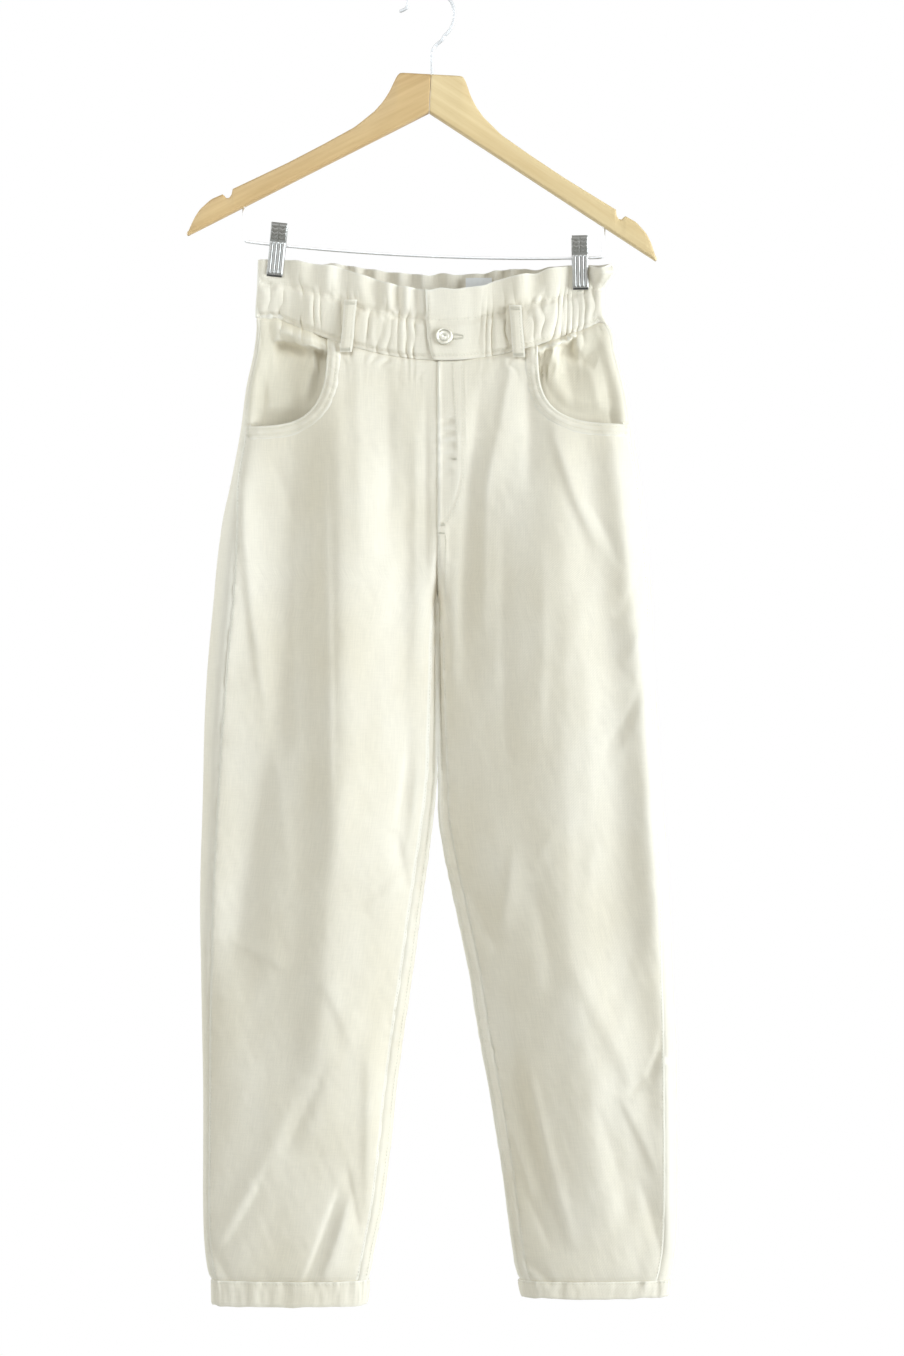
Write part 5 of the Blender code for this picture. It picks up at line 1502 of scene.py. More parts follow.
# Shares of the button's radius, and heights above the tab, from the middle of its back to that of its face
BUTTON_PROFILE = (
    (0.0, -0.0004), (0.80, -0.0004), (0.97, 0.0002), (1.0, 0.0013), (0.97, 0.0024), (0.86, 0.0030),
    (0.74, 0.0027), (0.66, 0.0017), (0.60, 0.0016), (0.48, 0.0022), (0.22, 0.0022), (0.10, 0.0013),
    (0.0, 0.0011),
)


def averaged(values, count):
    return np.convolve(values, np.ones(count) / count, mode="valid")


def loop_surface(face, top_x, end_x):
    """Middle points of a belt loop, which bridges the gathers between its two sewn ends."""
    share = np.linspace(0.0, 1.0, LOOP_ROWS)[:, None]
    middle_x = mix(top_x, end_x, share)
    drop = mix(LOOP_TOP, LOOP_END, share)
    under_x = middle_x + LOOP_WIDTH * np.linspace(-LOOP_REACH, LOOP_REACH, LOOP_SAMPLES)
    under, _ = trunk_point(under_x, drop, face)
    surface, _ = trunk_point(middle_x, drop, face)
    way = -1.0 if face == "front" else 1.0
    padding = (LOOP_LEVEL + LOOP_SMOOTH - 2) // 2
    level = np.pad(np.max(way * under[..., 1], axis=1), padding, mode="edge")
    level = np.lib.stride_tricks.sliding_window_view(level, LOOP_LEVEL).max(axis=1)
    level = averaged(level, LOOP_SMOOTH)[:, None]
    bow = LOOP_BOW * np.sin(math.pi * share) ** LOOP_BOW_POWER
    sewn = groove(share, *LOOP_SEWN) + groove(1 - share, *LOOP_SEWN)
    aside = np.linspace(-0.5, 0.5, LOOP_COLUMNS)
    crown, crown_power = LOOP_CROWN
    crown = crown * (1 - np.abs(2 * aside) ** crown_power)
    crown = crown - groove(np.abs(aside) - LOOP_GROOVE_AT, *LOOP_GROOVE)
    stand = WALL / 2 + LOOP_WALL / 2 + LOOP_CLEAR + bow - sewn + crown
    waver, waves = LOOP_WAVER
    x = middle_x + LOOP_WIDTH * aside * (1 + waver * np.cos(waves * share))
    points = np.stack([x, way * (level + stand), np.broadcast_to(surface[..., 2], x.shape)], axis=-1)
    return points, facing(points, way)


def add_belt_loop(name, face, top_x, end_x):
    points, out = loop_surface(face, top_x, end_x)
    add_cloth(name, points, out, LOOP_WALL)
    for column in LOOP_STITCHES:
        sew("loops", (points[3:-3, column], out[3:-3, column]), LOOP_WALL / 2)
    for row in LOOP_TACKS:
        sew("loops", (points[row, 1:-1], out[row, 1:-1]), LOOP_WALL / 2, **TACKED)


def add_label():
    """A bare label sewn inside the back of the waist."""
    x = np.tile(np.linspace(*LABEL_X, LABEL_COLUMNS), (LABEL_ROWS, 1))
    surface, _ = trunk_point(x, rows_of(np.linspace(*LABEL_DROPS, LABEL_ROWS), LABEL_COLUMNS), "back")
    level = averaged(np.pad(surface[..., 1].min(axis=0), LABEL_SMOOTH // 2, mode="edge"), LABEL_SMOOTH)
    inward = level - WALL / 2 - LABEL_CLEAR + 0 * x
    points = np.stack([x, inward, surface[..., 2].mean(axis=1, keepdims=True) + 0 * x], axis=-1)
    add_cloth("back_label", points, facing(points, -1.0), LABEL_WALL, LABEL, "label")


def add_turned(name, profile, steps, place, material):
    """A solid turned about its own axis from (radius, height) points that start and end on the axis."""
    angles = 2 * math.pi * np.arange(steps) / steps
    points = [(0.0, 0.0, profile[0][1])]
    for radius, height in profile[1:-1]:
        points += [(radius * math.cos(a), radius * math.sin(a), height) for a in angles]
    points.append((0.0, 0.0, profile[-1][1]))
    last = len(points) - 1
    low = last - steps
    faces = [(0, 1 + (k + 1) % steps, 1 + k) for k in range(steps)]
    faces += band_faces(len(profile) - 3, steps, 1)
    faces += [(last, low + k, low + (k + 1) % steps) for k in range(steps)]
    placed = [tuple(place @ Vector(point)) for point in points]
    return add_mesh(name, placed, faces, material, sharp_angle=CLOTH_SHARP)


def rounded_path(points, passes=2):
    """Corners cut off again and again, so that a few given points give a soft bend."""
    for _ in range(passes):
        cut = [points[0]]
        for a, b in zip(points, points[1:]):
            cut += [a * (1 - CORNER_CUT) + b * CORNER_CUT, a * CORNER_CUT + b * (1 - CORNER_CUT)]
        points = cut + [points[-1]]
    return points


def add_button():
    """A ring-shaped jeans button with a dished middle, on the tab."""
    near_x = BUTTON_X + BUTTON_RADIUS * np.array([-1.0, 0.0, 1.0])
    near, _ = trunk_point(near_x, BUTTON_DROP - BUTTON_SAG, "front")
    level = near[:, 1].min() - TAB_RAISE - WALL / 2 - BUTTON_STAND
    profile = rounded_path([np.array([BUTTON_RADIUS * share, height]) for share, height in BUTTON_PROFILE])
    place = Matrix.Translation((BUTTON_X, level, -BUTTON_DROP)) @ Matrix.Rotation(math.pi / 2, 4, "X")
    piece = add_turned("jeans_button", profile, BUTTON_STEPS, place, BUTTON_METAL)
    keep_piece(piece, ("button",))


# ---------------------------------------------------------------- stitching

THREADS = {name: Thread() for name in ("fronts", "backs", "waist", "hems", "loops")}
TACKED = {"kind": TACK, "crosswise": True}
SEAM_STITCH_IN = 0.0018
SEAM_POINTS = 900
INSEAM_POINTS = 800
SEAM_START = 0.012
SEAM_END = HEM_TOP - 0.004
INSEAM_START = {"fronts": CROTCH + 0.030, "backs": CROTCH + 0.060}
MOUTH_POINTS = 400
MOUTH_SKIP = 6
CORNER_TACK = {"in": 0.0030, "tall": 0.0105, "lift": 0.0012}
BACK_INSEAM_SHARE = 0.35
BACK_CENTRE_DROPS = (WAIST_SEAM + 0.004, 0.560)
FELLED_ROWS = (0.0016, 0.0080)
BACK_CENTRE_ROWS = (0.0018, 0.0080)
BACK_SEAM_LIFT = 0.0006
SAG_PASSES = 14
FLY_LIFT = 0.0007
FLY_TOP = 0.357
FLY_INNER_END = 0.442
FLY_INNER = (0.0149, 0.0038)
FLY_STITCHES_END = FLY_END - 0.0045
FELLED_STITCHES = (FLY_END + 0.006, CROTCH + 0.004)
ROW_POINTS = {"fly": 300, "fly_inner": 150, "felled": 90, "buttonhole": 120, "tab": 120, "back_centre": 420}
FLY_BARS = ((0.0145, 0.0195, 0.4495, 8), (0.0006, 0.0078, 0.5115, 10), (0.0006, 0.0078, 0.5195, 10))
BUTTONHOLE = {"x": 0.0215, "half_wide": 0.0125, "half_high": 0.0021, "below": 0.0002, "power": 0.6}
WAIST_STITCH_DROPS = (FRILL_SEAM, WAIST_SEAM - 0.0026)
WAIST_STRETCHES = {"front": ((-0.1605, -0.0035), (-0.0005, 0.1635)), "back": ((-0.1605, 0.1635),)}
WAIST_STITCH_STEP = 0.0006
TAB_STITCH_IN = 0.0030


def sew(thread, line_and_outs, lift, **kind):
    """A row of stitches lifted off a line of points on the cloth's middle."""
    line, out = line_and_outs
    THREADS[thread].row(moved(line, out, lift), out, **kind)


def nominal_drop(x, hang):
    """The drop along the cloth of a point of the front seen at a given height."""
    drop = np.array(hang, dtype=float)
    for _ in range(SAG_PASSES):
        drop = hang - sag_of(np.asarray(x), drop, True)
    return drop


def sew_front(name, side):
    for offset, lift in HEM_ROWS:
        line, out, _ = mouth_points(side, name, offset, MOUTH_POINTS, lift + STRIP_WALL / 2)
        sew("fronts", (line[MOUTH_SKIP:], out[MOUTH_SKIP:]), 0.0)
    drops = np.linspace(MOUTH_DROP[name] + SEAM_START, SEAM_END, SEAM_POINTS)
    seam = span_of(side, drops) - smooth(drops, INSETS, f"{name}_side")
    sew("fronts", on_front(side, seam - SEAM_STITCH_IN, drops), WALL / 2)
    leg = np.linspace(INSEAM_START["fronts"], SEAM_END, INSEAM_POINTS)
    sew("fronts", on_front(side, smooth(leg, INSETS, "inseam") + SEAM_STITCH_IN, leg), WALL / 2)
    tack = MOUTH_DROP[name] + np.array([0.0, CORNER_TACK["tall"]])
    corner = on_front(side, mouth_shape(side, name)[1] - CORNER_TACK["in"], tack)
    sew("fronts", corner, WALL / 2 + CORNER_TACK["lift"], **TACKED)


def sew_on_fly(distance, hang, **kind):
    """Stitches on the left front beside its edge, at a distance from it and a seen height."""
    distance, hang = np.broadcast_arrays(distance, hang)
    points = on_front(LEFT, distance, nominal_drop(CENTRE + distance, hang))
    sew("fronts", points, FLY_LIFT + WALL / 2, **kind)


def sew_fly():
    hang = np.linspace(FLY_TOP, FLY_STITCHES_END, ROW_POINTS["fly"])
    sew_on_fly(fly_width(hang) - FLY_STITCH_IN, hang)
    inner = np.linspace(FLY_TOP, FLY_INNER_END, ROW_POINTS["fly_inner"])
    start, widening = FLY_INNER
    sew_on_fly(start + widening * ramp(inner, FLY_TOP, FLY_INNER_END), inner)
    for start, end, height, count in FLY_BARS:
        sew_on_fly(np.linspace(start, end, count), height, **TACKED)
    down = np.linspace(*FELLED_STITCHES, ROW_POINTS["felled"])
    for distance in FELLED_ROWS:
        sew_on_fly(distance, down)


def sew_buttonhole():
    turn = np.linspace(0.0, 2 * math.pi, ROW_POINTS["buttonhole"])
    x = BUTTONHOLE["x"] + BUTTONHOLE["half_wide"] * np.cos(turn)
    up = BUTTONHOLE["half_high"] * np.sign(np.sin(turn)) * np.abs(np.sin(turn)) ** BUTTONHOLE["power"]
    drop = nominal_drop(x, BUTTON_DROP + BUTTONHOLE["below"] + up)
    sew("waist", trunk_point(x, drop, "front"), WALL / 2 + FLY_LIFT + tab_lift(x, drop), **TACKED)


def sew_waist():
    for face, stretches in WAIST_STRETCHES.items():
        for drop in WAIST_STITCH_DROPS:
            for start, end in stretches:
                x = np.linspace(start, end, int((end - start) / WAIST_STITCH_STEP))
                on_tab_side = face == "front" and end > CENTRE
                lift = WALL / 2 + waist_shift(drop) + (tab_lift(x, drop) if on_tab_side else 0.0)
                sew("waist", trunk_point(x, drop, face), lift)
    drops = np.linspace(FRILL_TOP + TAB_STITCH_IN, WAIST_BOTTOM - TAB_STITCH_IN, ROW_POINTS["tab"])
    x = tab_edge(drops) + TAB_STITCH_IN
    sew("waist", trunk_point(x, drops, "front"), WALL / 2 + waist_shift(drops) + tab_lift(x, drops))


def sew_back(side):
    leg = np.linspace(INSEAM_START["backs"], SEAM_END, INSEAM_POINTS)
    inset = smooth(leg, INSETS, "inseam") * BACK_INSEAM_SHARE
    sew("backs", on_front(side, inset, leg), WALL / 2 + BACK_SEAM_LIFT)
    if side == RIGHT:
        drop = np.linspace(*BACK_CENTRE_DROPS, ROW_POINTS["back_centre"])
        for distance in BACK_CENTRE_ROWS:
            sew("backs", trunk_point(CENTRE - distance, drop, "back"), WALL / 2 + BACK_SEAM_LIFT)


def sew_hem(name, side):
    turn = np.linspace(0.0, 1.0, LEG_HEM_POINTS) % 1.0
    share = np.full(turn.shape, LEG_HEM_STITCHED)
    points = ring(side, turn, hem_drop(name, share))
    sew("hems", points, HEM_WALL / 2 + hem_relief(side, turn, share))


# ---------------------------------------------------------------- hanger

HANGER_TILT = math.radians(3.1)
HEAD_AT = Vector((0.003, 0.0, -0.0812))
# One shoulder of the hanger: distance from its middle, drop of its upper edge, and thickness
WOOD_ROWS = (
    (0.2, 0.0, 14.0),
    (29.0, 0.0, 14.0),
    (32.0, 1.6, 14.0),
    (38.5, 18.0, 14.0),
    (44.0, 28.0, 13.6),
    (52.0, 38.0, 13.2),
    (70.0, 54.0, 12.6),
    (99.0, 72.0, 12.2),
    (132.0, 91.5, 12.0),
    (165.0, 109.5, 12.0),
    (183.0, 119.2, 12.0),
    (183.9, 124.5, 12.0),
    (186.0, 127.9, 12.0),
    (188.6, 128.4, 12.0),
    (190.8, 126.2, 12.0),
    (192.4, 124.9, 12.0),
    (203.0, 130.0, 11.8),
    (213.5, 140.5, 11.4),
    (219.5, 151.0, 10.6),
    (223.0, 161.5, 9.0),
)
WOOD_UNDERSIDE = 0.0363
WOOD_SLOPE = 0.58
WOOD_EDGE = 0.0030
WOOD_EDGE_SHARE = 0.3
WOOD_STEP = 0.0020
WOOD_CORNER_STEPS = 5
# The joint in the middle: how far its first two sections are set in; and how the tip closes
WOOD_JOINT = (0.0003, 0.0006, 0.0004)
WOOD_TIP = ((0.0007, 0.86), (0.0012, 0.66), (0.0015, 0.40))
WOOD_GRAIN = {"along": 1.15, "other_half": 1.0, "across": 0.6}
NOTCH_FROM = 0.181
NOTCH_TO = 0.194
STEM_X = 0.0008
STEM_DEPTH = 0.024
STEM_CLEAR = 0.0004

WIRE = 0.0016
WIRE_SIDES = 20
BOW_RADIUS = 0.0253
BOW_ANGLES = (-52, 138)
BOW_STEPS = 60
HOOK_TIP = ((-19.5, -16.2), (-22.0, -18.4), (-26.5, -20.4))
HOOK_BEND = ((5.2, -56.0), (8.5, -51.6), (13.5, -48.0))
HOOK_STRAIGHT = -0.0600

BAR_WIRE = 0.0014
BAR_SIDES = 16
BAR_STEPS = 60
BAR_ENDS = ((-176.0, 203.5), (168.2, 223.0))
BAR_CORNERS = ((-175.0, 240.0), (167.2, 255.2))
BAR_CORNER_RADIUS = 0.006
BAR_SAG = 0.0065
BAR_SAG_POWER = 0.8
SLOPE_STEP = 0.005
WIRE_END = 0.8

# A clip's jaw, from the bar up and down; its profile holds how far it stands off and how high
JAW_WIDTH = 0.0152
JAW_WALL = 0.0010
JAW_ABOVE = 0.0205
JAW_BELOW = 0.0290
JAW_OPEN = 0.0092
JAW_HOLD = 0.0042
JAW_PROFILE = (
    (JAW_OPEN, JAW_ABOVE),
    ((JAW_OPEN + JAW_HOLD) / 2, JAW_ABOVE * 0.45),
    (JAW_HOLD, 0.002),
    (JAW_HOLD, -JAW_BELOW * 0.5),
    (JAW_HOLD + 0.0004, -JAW_BELOW),
)
JAW_GRID = (84, 41)
JAW_SMOOTH = 7
JAW_BORDER = (0.0003, 0.0010)
JAW_EDGE = (0.0003, 0.0008)
CHEVRON = {"height": 0.00028, "pitch": 0.0042, "slope": 0.55, "column": 0.0034, "rise": (0.04, 0.36)}
CHEVRON_FOOT = 0.0035
CHEVRON_TOP = JAW_ABOVE - 0.0016
CHEVRON_START = (CHEVRON_FOOT - 0.0004, CHEVRON_FOOT + 0.0006)
CHEVRON_GAP = (0.0003, 0.0011)
PATTERN_FADE = 0.0012
RIB_TOP = (0.0012, 0.0008)
RIB_FOOT = JAW_BELOW - 0.0006
RIB_HEIGHT = 0.0010
RIB_POWER = 0.55
RIBS = 4
PAD_WALL = 0.0011
PAD_HEIGHT = 0.0095
PAD_AT = 0.0030
PAD_PAST = 0.0014
PAD_GRID = (24, 34)
PAD_IN = 0.0004
PAD_TOOTH = 0.00018
PAD_PITCH = 0.0021
SPRING_RADIUS = 0.0026
SPRING_WIRE = 0.00055
SPRING_LENGTH = 0.0118
SPRING_TURNS = 9
SPRING_SIDES = 8
TURN_STEPS = 20


def hanger_frame():
    return Matrix.Translation(HEAD_AT) @ Matrix.Rotation(HANGER_TILT, 4, "Y")


def rounded_rectangle(half_wide, top, bottom, edge):
    """Corners of a section with quarter rounds, as (across, drop) pairs in order."""
    left, right, high, low = -half_wide + edge, half_wide - edge, top + edge, bottom - edge
    points = []
    for across, drop, start in ((right, high, -90), (right, low, 0), (left, low, 90), (left, high, 180)):
        for k in range(WOOD_CORNER_STEPS + 1):
            angle = math.radians(start + 90 * k / WOOD_CORNER_STEPS)
            points.append((across + edge * math.cos(angle), drop + edge * math.sin(angle)))
    return points


def wood_sections():
    """Distance along, drop of the top, thickness and shrinkage of each section of a shoulder."""
    rows = np.array(WOOD_ROWS) * MM
    fine = []
    for low, high in zip(rows, rows[1:]):
        steps = max(1, int(np.ceil((high[0] - low[0]) / WOOD_STEP)))
        fine += [mix(low, high, k / steps) for k in range(steps)]
    fine = np.array(fine + [rows[-1]])
    kept = (fine[1:-1, :1] > NOTCH_FROM) & (fine[1:-1, :1] < NOTCH_TO)
    for _ in range(2):
        softer = (fine[:-2, 1:] + 2 * fine[1:-1, 1:] + fine[2:, 1:]) / 4
        fine[1:-1, 1:] = np.where(kept, fine[1:-1, 1:], softer)
    lower, thinner, inward = WOOD_JOINT
    (along, top, thickness), (end, end_top, end_thickness) = fine[0], fine[-1]
    sections = [(along, top + lower, thickness - thinner, 1.0), (along + inward, top, thickness, 1.0)]
    sections += [(*row, 1.0) for row in fine[1:]]
    return sections + [(end + further, end_top, end_thickness, shrink) for further, shrink in WOOD_TIP]


def add_hanger_wood(name, side):
    """One shoulder of the hanger, lofted from its tip to the joint in the middle of the head."""
    points = []
    uv = []
    head = hanger_frame()
    sections = wood_sections()
    for along, top, thickness, shrink in sections:
        bottom = WOOD_UNDERSIDE + WOOD_SLOPE * along
        middle = (top + bottom) / 2
        edge = min(WOOD_EDGE, (bottom - top) * WOOD_EDGE_SHARE) * shrink
        reach = (bottom - top) / 2 * shrink
        for across, drop in rounded_rectangle(thickness / 2 * shrink, middle - reach, middle + reach, edge):
            points.append(tuple(head @ Vector((side * along, across, -drop))))
            half = WOOD_GRAIN["other_half"] if side > 0 else 0.0
            turned = drop - WOOD_SLOPE * along + across * WOOD_GRAIN["across"]
            uv.append((along * WOOD_GRAIN["along"] + half, turned))
    around = len(points) // len(sections)
    faces = band_faces(len(sections) - 1, around)
    faces += [tuple(range(around))[::-1], tuple(range(len(points) - around, len(points)))]
    if side > 0:
        faces = [face[::-1] for face in faces]
    shade, slot = (BEECH_DARK, "beech_dark") if side < 0 else (BEECH_LIGHT, "beech_light")
    wood = add_mesh(f"hanger_shoulder_{name}", points, faces, shade, np.array(uv), WOOD_SHARP)
    keep_piece(wood, (f"hanger_wood_{name}",))


def tube_mesh(name, route, radius, sides, material):
    """A round wire along a list of points, with rounded-over ends."""
    route = [Vector(point) for point in route]
    points = []
    reference = None
    for k, here in enumerate(route):
        along = (route[min(k + 1, len(route) - 1)] - route[max(k - 1, 0)]).normalized()
        if reference is None:
            reference = Vector((0, 1, 0)) if abs(along.y) < 0.9 else Vector((1, 0, 0))
            reference = (reference - along * reference.dot(along)).normalized()
        reference = (reference - along * reference.dot(along)).normalized()
        other = along.cross(reference)
        for step in range(sides):
            angle = 2 * math.pi * step / sides
            points.append(tuple(here + (reference * math.cos(angle) + other * math.sin(angle)) * radius))
    faces = band_faces(len(route) - 1, sides)
    for end, row in ((-1, 0), (1, len(route) - 1)):
        outward = (route[row] - route[row - end]).normalized()
        points.append(tuple(route[row] + outward * radius * WIRE_END))
        for step in range(sides):
            face = (row * sides + step, row * sides + (step + 1) % sides, len(points) - 1)
            faces.append(face if end > 0 else face[::-1])
    return add_mesh(name, points, faces, material, sharp_angle=WIRE_SHARP)


def flat_points(pairs):
    """Points of the hanger's plane from pairs of x and z in millimetres."""
    return [Vector((x * MM, 0, z * MM)) for x, z in pairs]


def add_hook():
    start, end = BOW_ANGLES
    bow = []
    for k in range(BOW_STEPS + 1):
        angle = math.radians(start + (end - start) * k / BOW_STEPS)
        z = BOW_RADIUS * math.sin(angle) - (BOW_RADIUS - WIRE)
        bow.append(Vector((BOW_RADIUS * math.cos(angle), 0, z)))
    foot = hanger_frame() @ Vector((STEM_X, 0, 0)) + Vector((0, 0, STEM_CLEAR - STEM_DEPTH))
    straight = Vector((foot.x, 0, HOOK_STRAIGHT))
    lower = rounded_path([straight, *flat_points(HOOK_BEND), bow[0]], 3)
    upper = rounded_path([bow[-1], *flat_points(HOOK_TIP)], 3)
    route = [foot, foot.lerp(straight, 0.5)] + lower[:-1] + bow + upper[1:]
    piece = tube_mesh("hanger_hook_wire", route, WIRE, WIRE_SIDES, HOOK_CHROME)
    keep_piece(piece, ("hanger_hook",))


def bar_height(x):
    """Z of the trouser bar between its corners, where the weight bends it down."""
    (x0, drop0), (x1, drop1) = np.array(BAR_CORNERS) * MM
    share = (x - x0) / (x1 - x0)
    return -(drop0 + (drop1 - drop0) * share + BAR_SAG * math.sin(math.pi * share) ** BAR_SAG_POWER)


def add_bar():
    x0, x1 = [x * MM for x, _ in BAR_CORNERS]
    up = Vector((0, 0, BAR_CORNER_RADIUS))
    inner = np.linspace(x0 + BAR_CORNER_RADIUS, x1 - BAR_CORNER_RADIUS, BAR_STEPS)
    first, *level, last = [Vector((x, 0, bar_height(x))) for x in (x0, *inner, x1)]
    start, end = flat_points((x, -drop) for x, drop in BAR_ENDS)
    route = [start] + rounded_path([first + up, first, level[0]], 4) + level[1:-1]
    route += rounded_path([level[-1], last, last + up], 4) + [end]
    piece = tube_mesh("hanger_bar_wire", route, BAR_WIRE, BAR_SIDES, BAR_CHROME)
    keep_piece(piece, ("hanger_bar",))


# ---------------------------------------------------------------- clips


def clip_frame(name):
    """The clip's own frame: on the bar, square to it."""
    x = CLIP_X[name]
    slope = (bar_height(x + SLOPE_STEP) - bar_height(x - SLOPE_STEP)) / (2 * SLOPE_STEP)
    return Matrix.Translation((x, 0, bar_height(x))) @ Matrix.Rotation(-math.atan(slope), 4, "Y")


def jaw_relief(x, z):
    """Pressed pattern of a jaw: two columns of chevrons above four ribs, inside a plain border."""
    border = ramp(JAW_WIDTH / 2 - np.abs(x), *JAW_BORDER)
    upper = ramp(z, *CHEVRON_START) * ramp(CHEVRON_TOP - z, 0.0, PATTERN_FADE)
    phase = (z - CHEVRON["slope"] * np.abs(np.abs(x) - CHEVRON["column"])) / CHEVRON["pitch"]
    chevron = ramp(np.abs((phase - np.floor(phase)) * 2 - 1), *CHEVRON["rise"])
    between = ramp(np.abs(x), *CHEVRON_GAP)
    below, fade = RIB_TOP
    lower = ramp(CHEVRON_FOOT - below - z, 0.0, fade) * ramp(z + RIB_FOOT, 0.0, PATTERN_FADE)
    rib_phase = (x + JAW_WIDTH / 2) / (JAW_WIDTH / RIBS)
    rib = np.sin(math.pi * (rib_phase - np.floor(rib_phase))) ** RIB_POWER
    return (CHEVRON["height"] * chevron * upper * between + RIB_HEIGHT * rib * lower) * border


def add_plate(node, kind, x, stand, z, way, place, wall, finish):
    """A plate of a clip, standing off the clip's middle; finish holds its material and a slot name, which is
    not used.
    """
    turned = np.array(place.to_3x3()).T
    middle = np.stack([x, way * stand, z], axis=-1)
    out = facing(middle, way) @ turned
    piece = add_wall(f"{node}_{kind}", middle @ turned + np.array(place.translation), out, wall, finish[0])
    keep_piece(piece, (node,))


def add_jaw(name, face, way, place):
    rows, columns = JAW_GRID
    out, up = np.array(JAW_PROFILE).T
    z = np.linspace(JAW_ABOVE, -JAW_BELOW, rows)
    y = np.interp(-z, -up, out)
    rim = JAW_SMOOTH // 2
    y[rim:-rim] = averaged(y, JAW_SMOOTH)
    x, z = np.meshgrid(np.linspace(-JAW_WIDTH / 2, JAW_WIDTH / 2, columns), z)
    edge, edge_width = JAW_EDGE
    stand = y[:, None] + jaw_relief(x, z) - edge * fall(JAW_WIDTH / 2 - np.abs(x), 0.0, edge_width)
    add_plate(f"{name}_{face}_jaw", "plate", x, stand, z, way, place, JAW_WALL, (STEEL, "clip_steel"))
    rows, columns = PAD_GRID
    half = JAW_WIDTH / 2 - PAD_IN
    heights = np.linspace(-JAW_BELOW - PAD_PAST, -JAW_BELOW + PAD_HEIGHT, rows)
    x, z = np.meshgrid(np.linspace(-half, half, columns), heights)
    stand = PAD_AT + PAD_TOOTH * np.sign(np.sin(z / PAD_PITCH * 2 * math.pi))
    add_plate(f"{name}_{face}_pad", "rubber", x, stand, z, way, place, PAD_WALL, (RUBBER, "clip_rubber"))


def add_clip(name):
    place = clip_frame(name)
    for face, way in (("front", -1.0), ("back", 1.0)):
        add_jaw(f"clip_{name}", face, way, place)
    steps = SPRING_TURNS * TURN_STEPS
    route = []
    for k in range(steps + 1):
        angle = 2 * math.pi * k / TURN_STEPS
        along = SPRING_LENGTH * (k / steps - 0.5)
        point = Vector((along, SPRING_RADIUS * math.cos(angle), SPRING_RADIUS * math.sin(angle)))
        route.append(place @ point)
    piece = tube_mesh(f"clip_{name}_coil", route, SPRING_WIRE, SPRING_SIDES, STEEL)
    keep_piece(piece, (f"clip_{name}_spring",))


# ---------------------------------------------------------------- dressing the model

for side_name, side_value in SIDES.items():
    add_front(side_name, side_value)
    add_back(side_name, side_value)
    add_facing(side_name, side_value)
    add_pocket_hem(side_name, side_value)
    add_leg_hem(side_name, side_value)
    add_hanger_wood(side_name, side_value)
    add_clip(side_name)
    sew_front(side_name, side_value)
    sew_back(side_value)
    sew_hem(side_name, side_value)
add_fly()
add_waist_front_right()
add_waist_front_left()
add_waist_back()
for loop in LOOPS:
    add_belt_loop(*loop)
add_label()
add_button()
add_hook()
add_bar()
sew_fly()
sew_buttonhole()
sew_waist()
for thread_name, thread in THREADS.items():
    stitching = thread.make(f"stitching_{thread_name}")
    keep_piece(stitching)

# ---------------------------------------------------------------- studio

FLOOR_DROP = 1.46
FLOOR_X = 6.0
FLOOR_Y = (-5.0, 0.6)
WHITE = (1.0, 1.0, 1.0, 1.0)
BACKDROP_LIGHT = 1.0
WARM = (1.0, 0.865, 0.455, 1.0)
WORLD_LIGHT = 0.168
COOL = (0.84, 0.92, 1.0)
# Soft boxes: place, what they face, width, height, power, and the angle that they shine in
LIGHTS = {
    "soft_box_left": ((4.20, -1.60, -0.50), (0.0, 0.0, -0.65), 2.6, 3.4, 346.0, 180),
    "soft_box_right": ((-1.3, -0.42, -0.60), (0.0, 0.0, -0.60), 0.9, 1.8, 6.0, 180),
    "soft_box_top": ((-0.60, -0.85, 0.40), (-0.14, 0.0, -0.28), 1.0, 0.5, 8.6, 180),
    "soft_box_low": ((-0.3, -0.95, -1.30), (-0.16, 0.0, -1.12), 1.0, 0.2, 1.1, 180),
    "soft_box_back": ((-3.3, 1.7, -0.25), (0.0, 0.0, -0.6), 1.6, 1.8, 4.5, 36),
}
CAMERA_AWAY = 3.0
VIEW_CENTRE = (0.0229, -0.657)
VIEW_HEIGHT = 1.295
SENSOR = 36.0

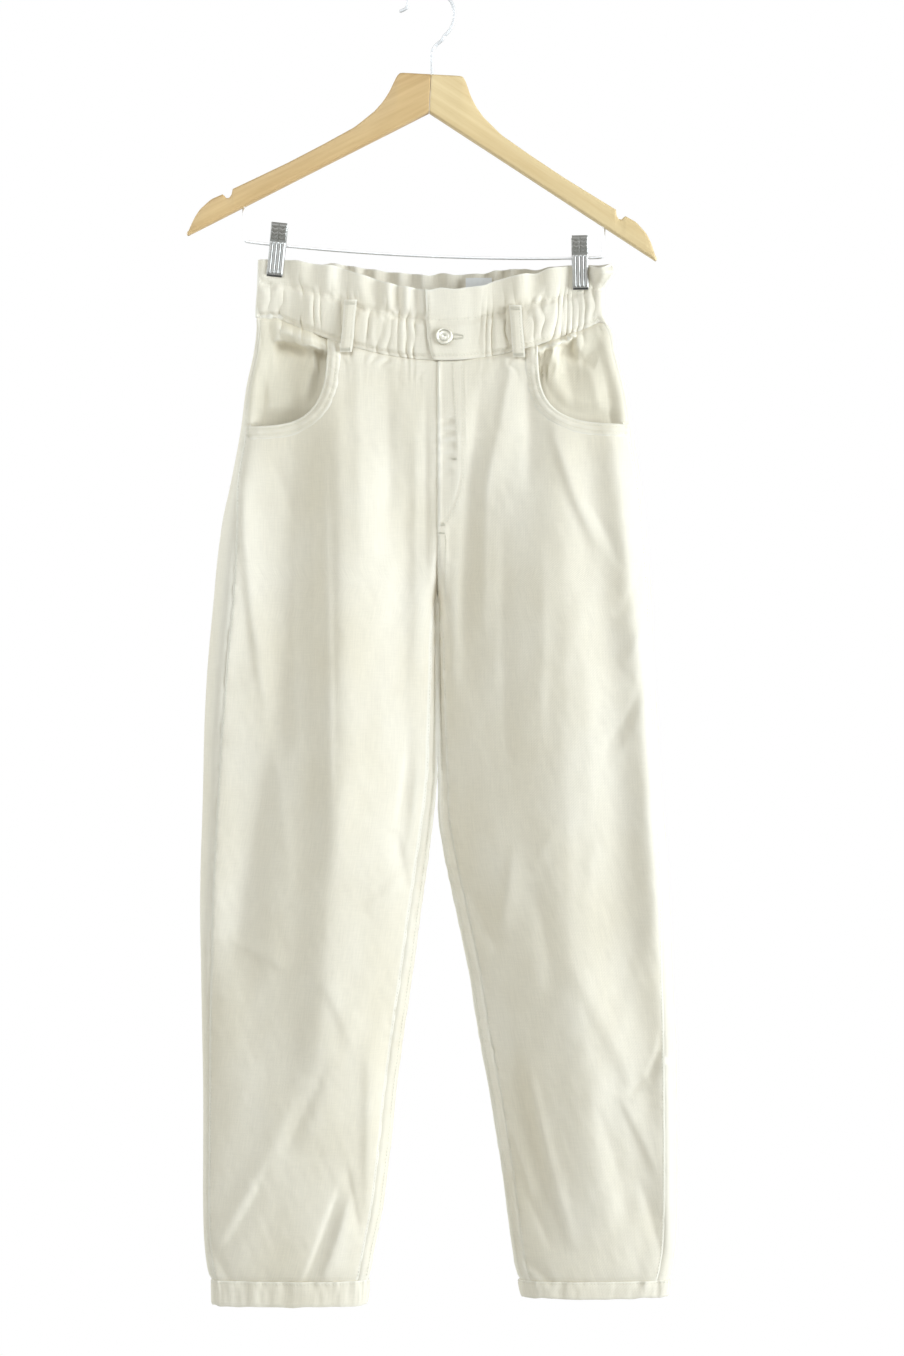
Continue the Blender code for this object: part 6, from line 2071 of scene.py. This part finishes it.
near_y, far_y = FLOOR_Y
corners = ((-FLOOR_X, near_y), (FLOOR_X, near_y), (FLOOR_X, far_y), (-FLOOR_X, far_y))
floor = add_mesh("studio_floor_plane", [(x, y, -FLOOR_DROP) for x, y in corners], [(0, 1, 2, 3)], STAGE)

# The world is white to camera and glossy rays, and a weaker warm light to all others
scene = bpy.context.scene
scene.view_settings.view_transform = "Standard"
world = bpy.data.worlds.new("studio_world")
world.use_nodes = True
nodes = world.node_tree.nodes
backdrop = nodes["Background"]
ambient = nodes.new("ShaderNodeBackground")
for background, color, strength in ((backdrop, WHITE, BACKDROP_LIGHT), (ambient, WARM, WORLD_LIGHT)):
    background.inputs["Color"].default_value = color
    background.inputs["Strength"].default_value = strength
rays = nodes.new("ShaderNodeLightPath")
chosen = nodes.new("ShaderNodeMixShader")
either = nodes.new("ShaderNodeMath")
either.operation = "MAXIMUM"
for output, socket in (
    (rays.outputs["Is Camera Ray"], either.inputs[0]),
    (rays.outputs["Is Glossy Ray"], either.inputs[1]),
    (either.outputs[0], chosen.inputs[0]),
    (ambient.outputs[0], chosen.inputs[1]),
    (backdrop.outputs[0], chosen.inputs[2]),
    (chosen.outputs[0], nodes["World Output"].inputs["Surface"]),
):
    world.node_tree.links.new(output, socket)
scene.world = world

for light_name, (at, target, wide, tall, energy, spread) in LIGHTS.items():
    data = bpy.data.lights.new(light_name, "AREA")
    data.shape = "RECTANGLE"
    data.size = wide
    data.size_y = tall
    data.energy = energy
    data.color = COOL
    data.spread = math.radians(spread)
    lamp = bpy.data.objects.new(light_name, data)
    scene.collection.objects.link(lamp)
    lamp.location = at
    lamp.rotation_euler = (Vector(target) - Vector(at)).to_track_quat("-Z", "Y").to_euler()

camera_data = bpy.data.cameras.new("camera")
camera_data.sensor_width = SENSOR
camera_data.lens = SENSOR * CAMERA_AWAY / VIEW_HEIGHT
camera = bpy.data.objects.new("camera", camera_data)
camera.location = (VIEW_CENTRE[0], -CAMERA_AWAY, VIEW_CENTRE[1])
camera.rotation_euler = (math.radians(90), 0.0, 0.0)
scene.collection.objects.link(camera)
scene.camera = camera
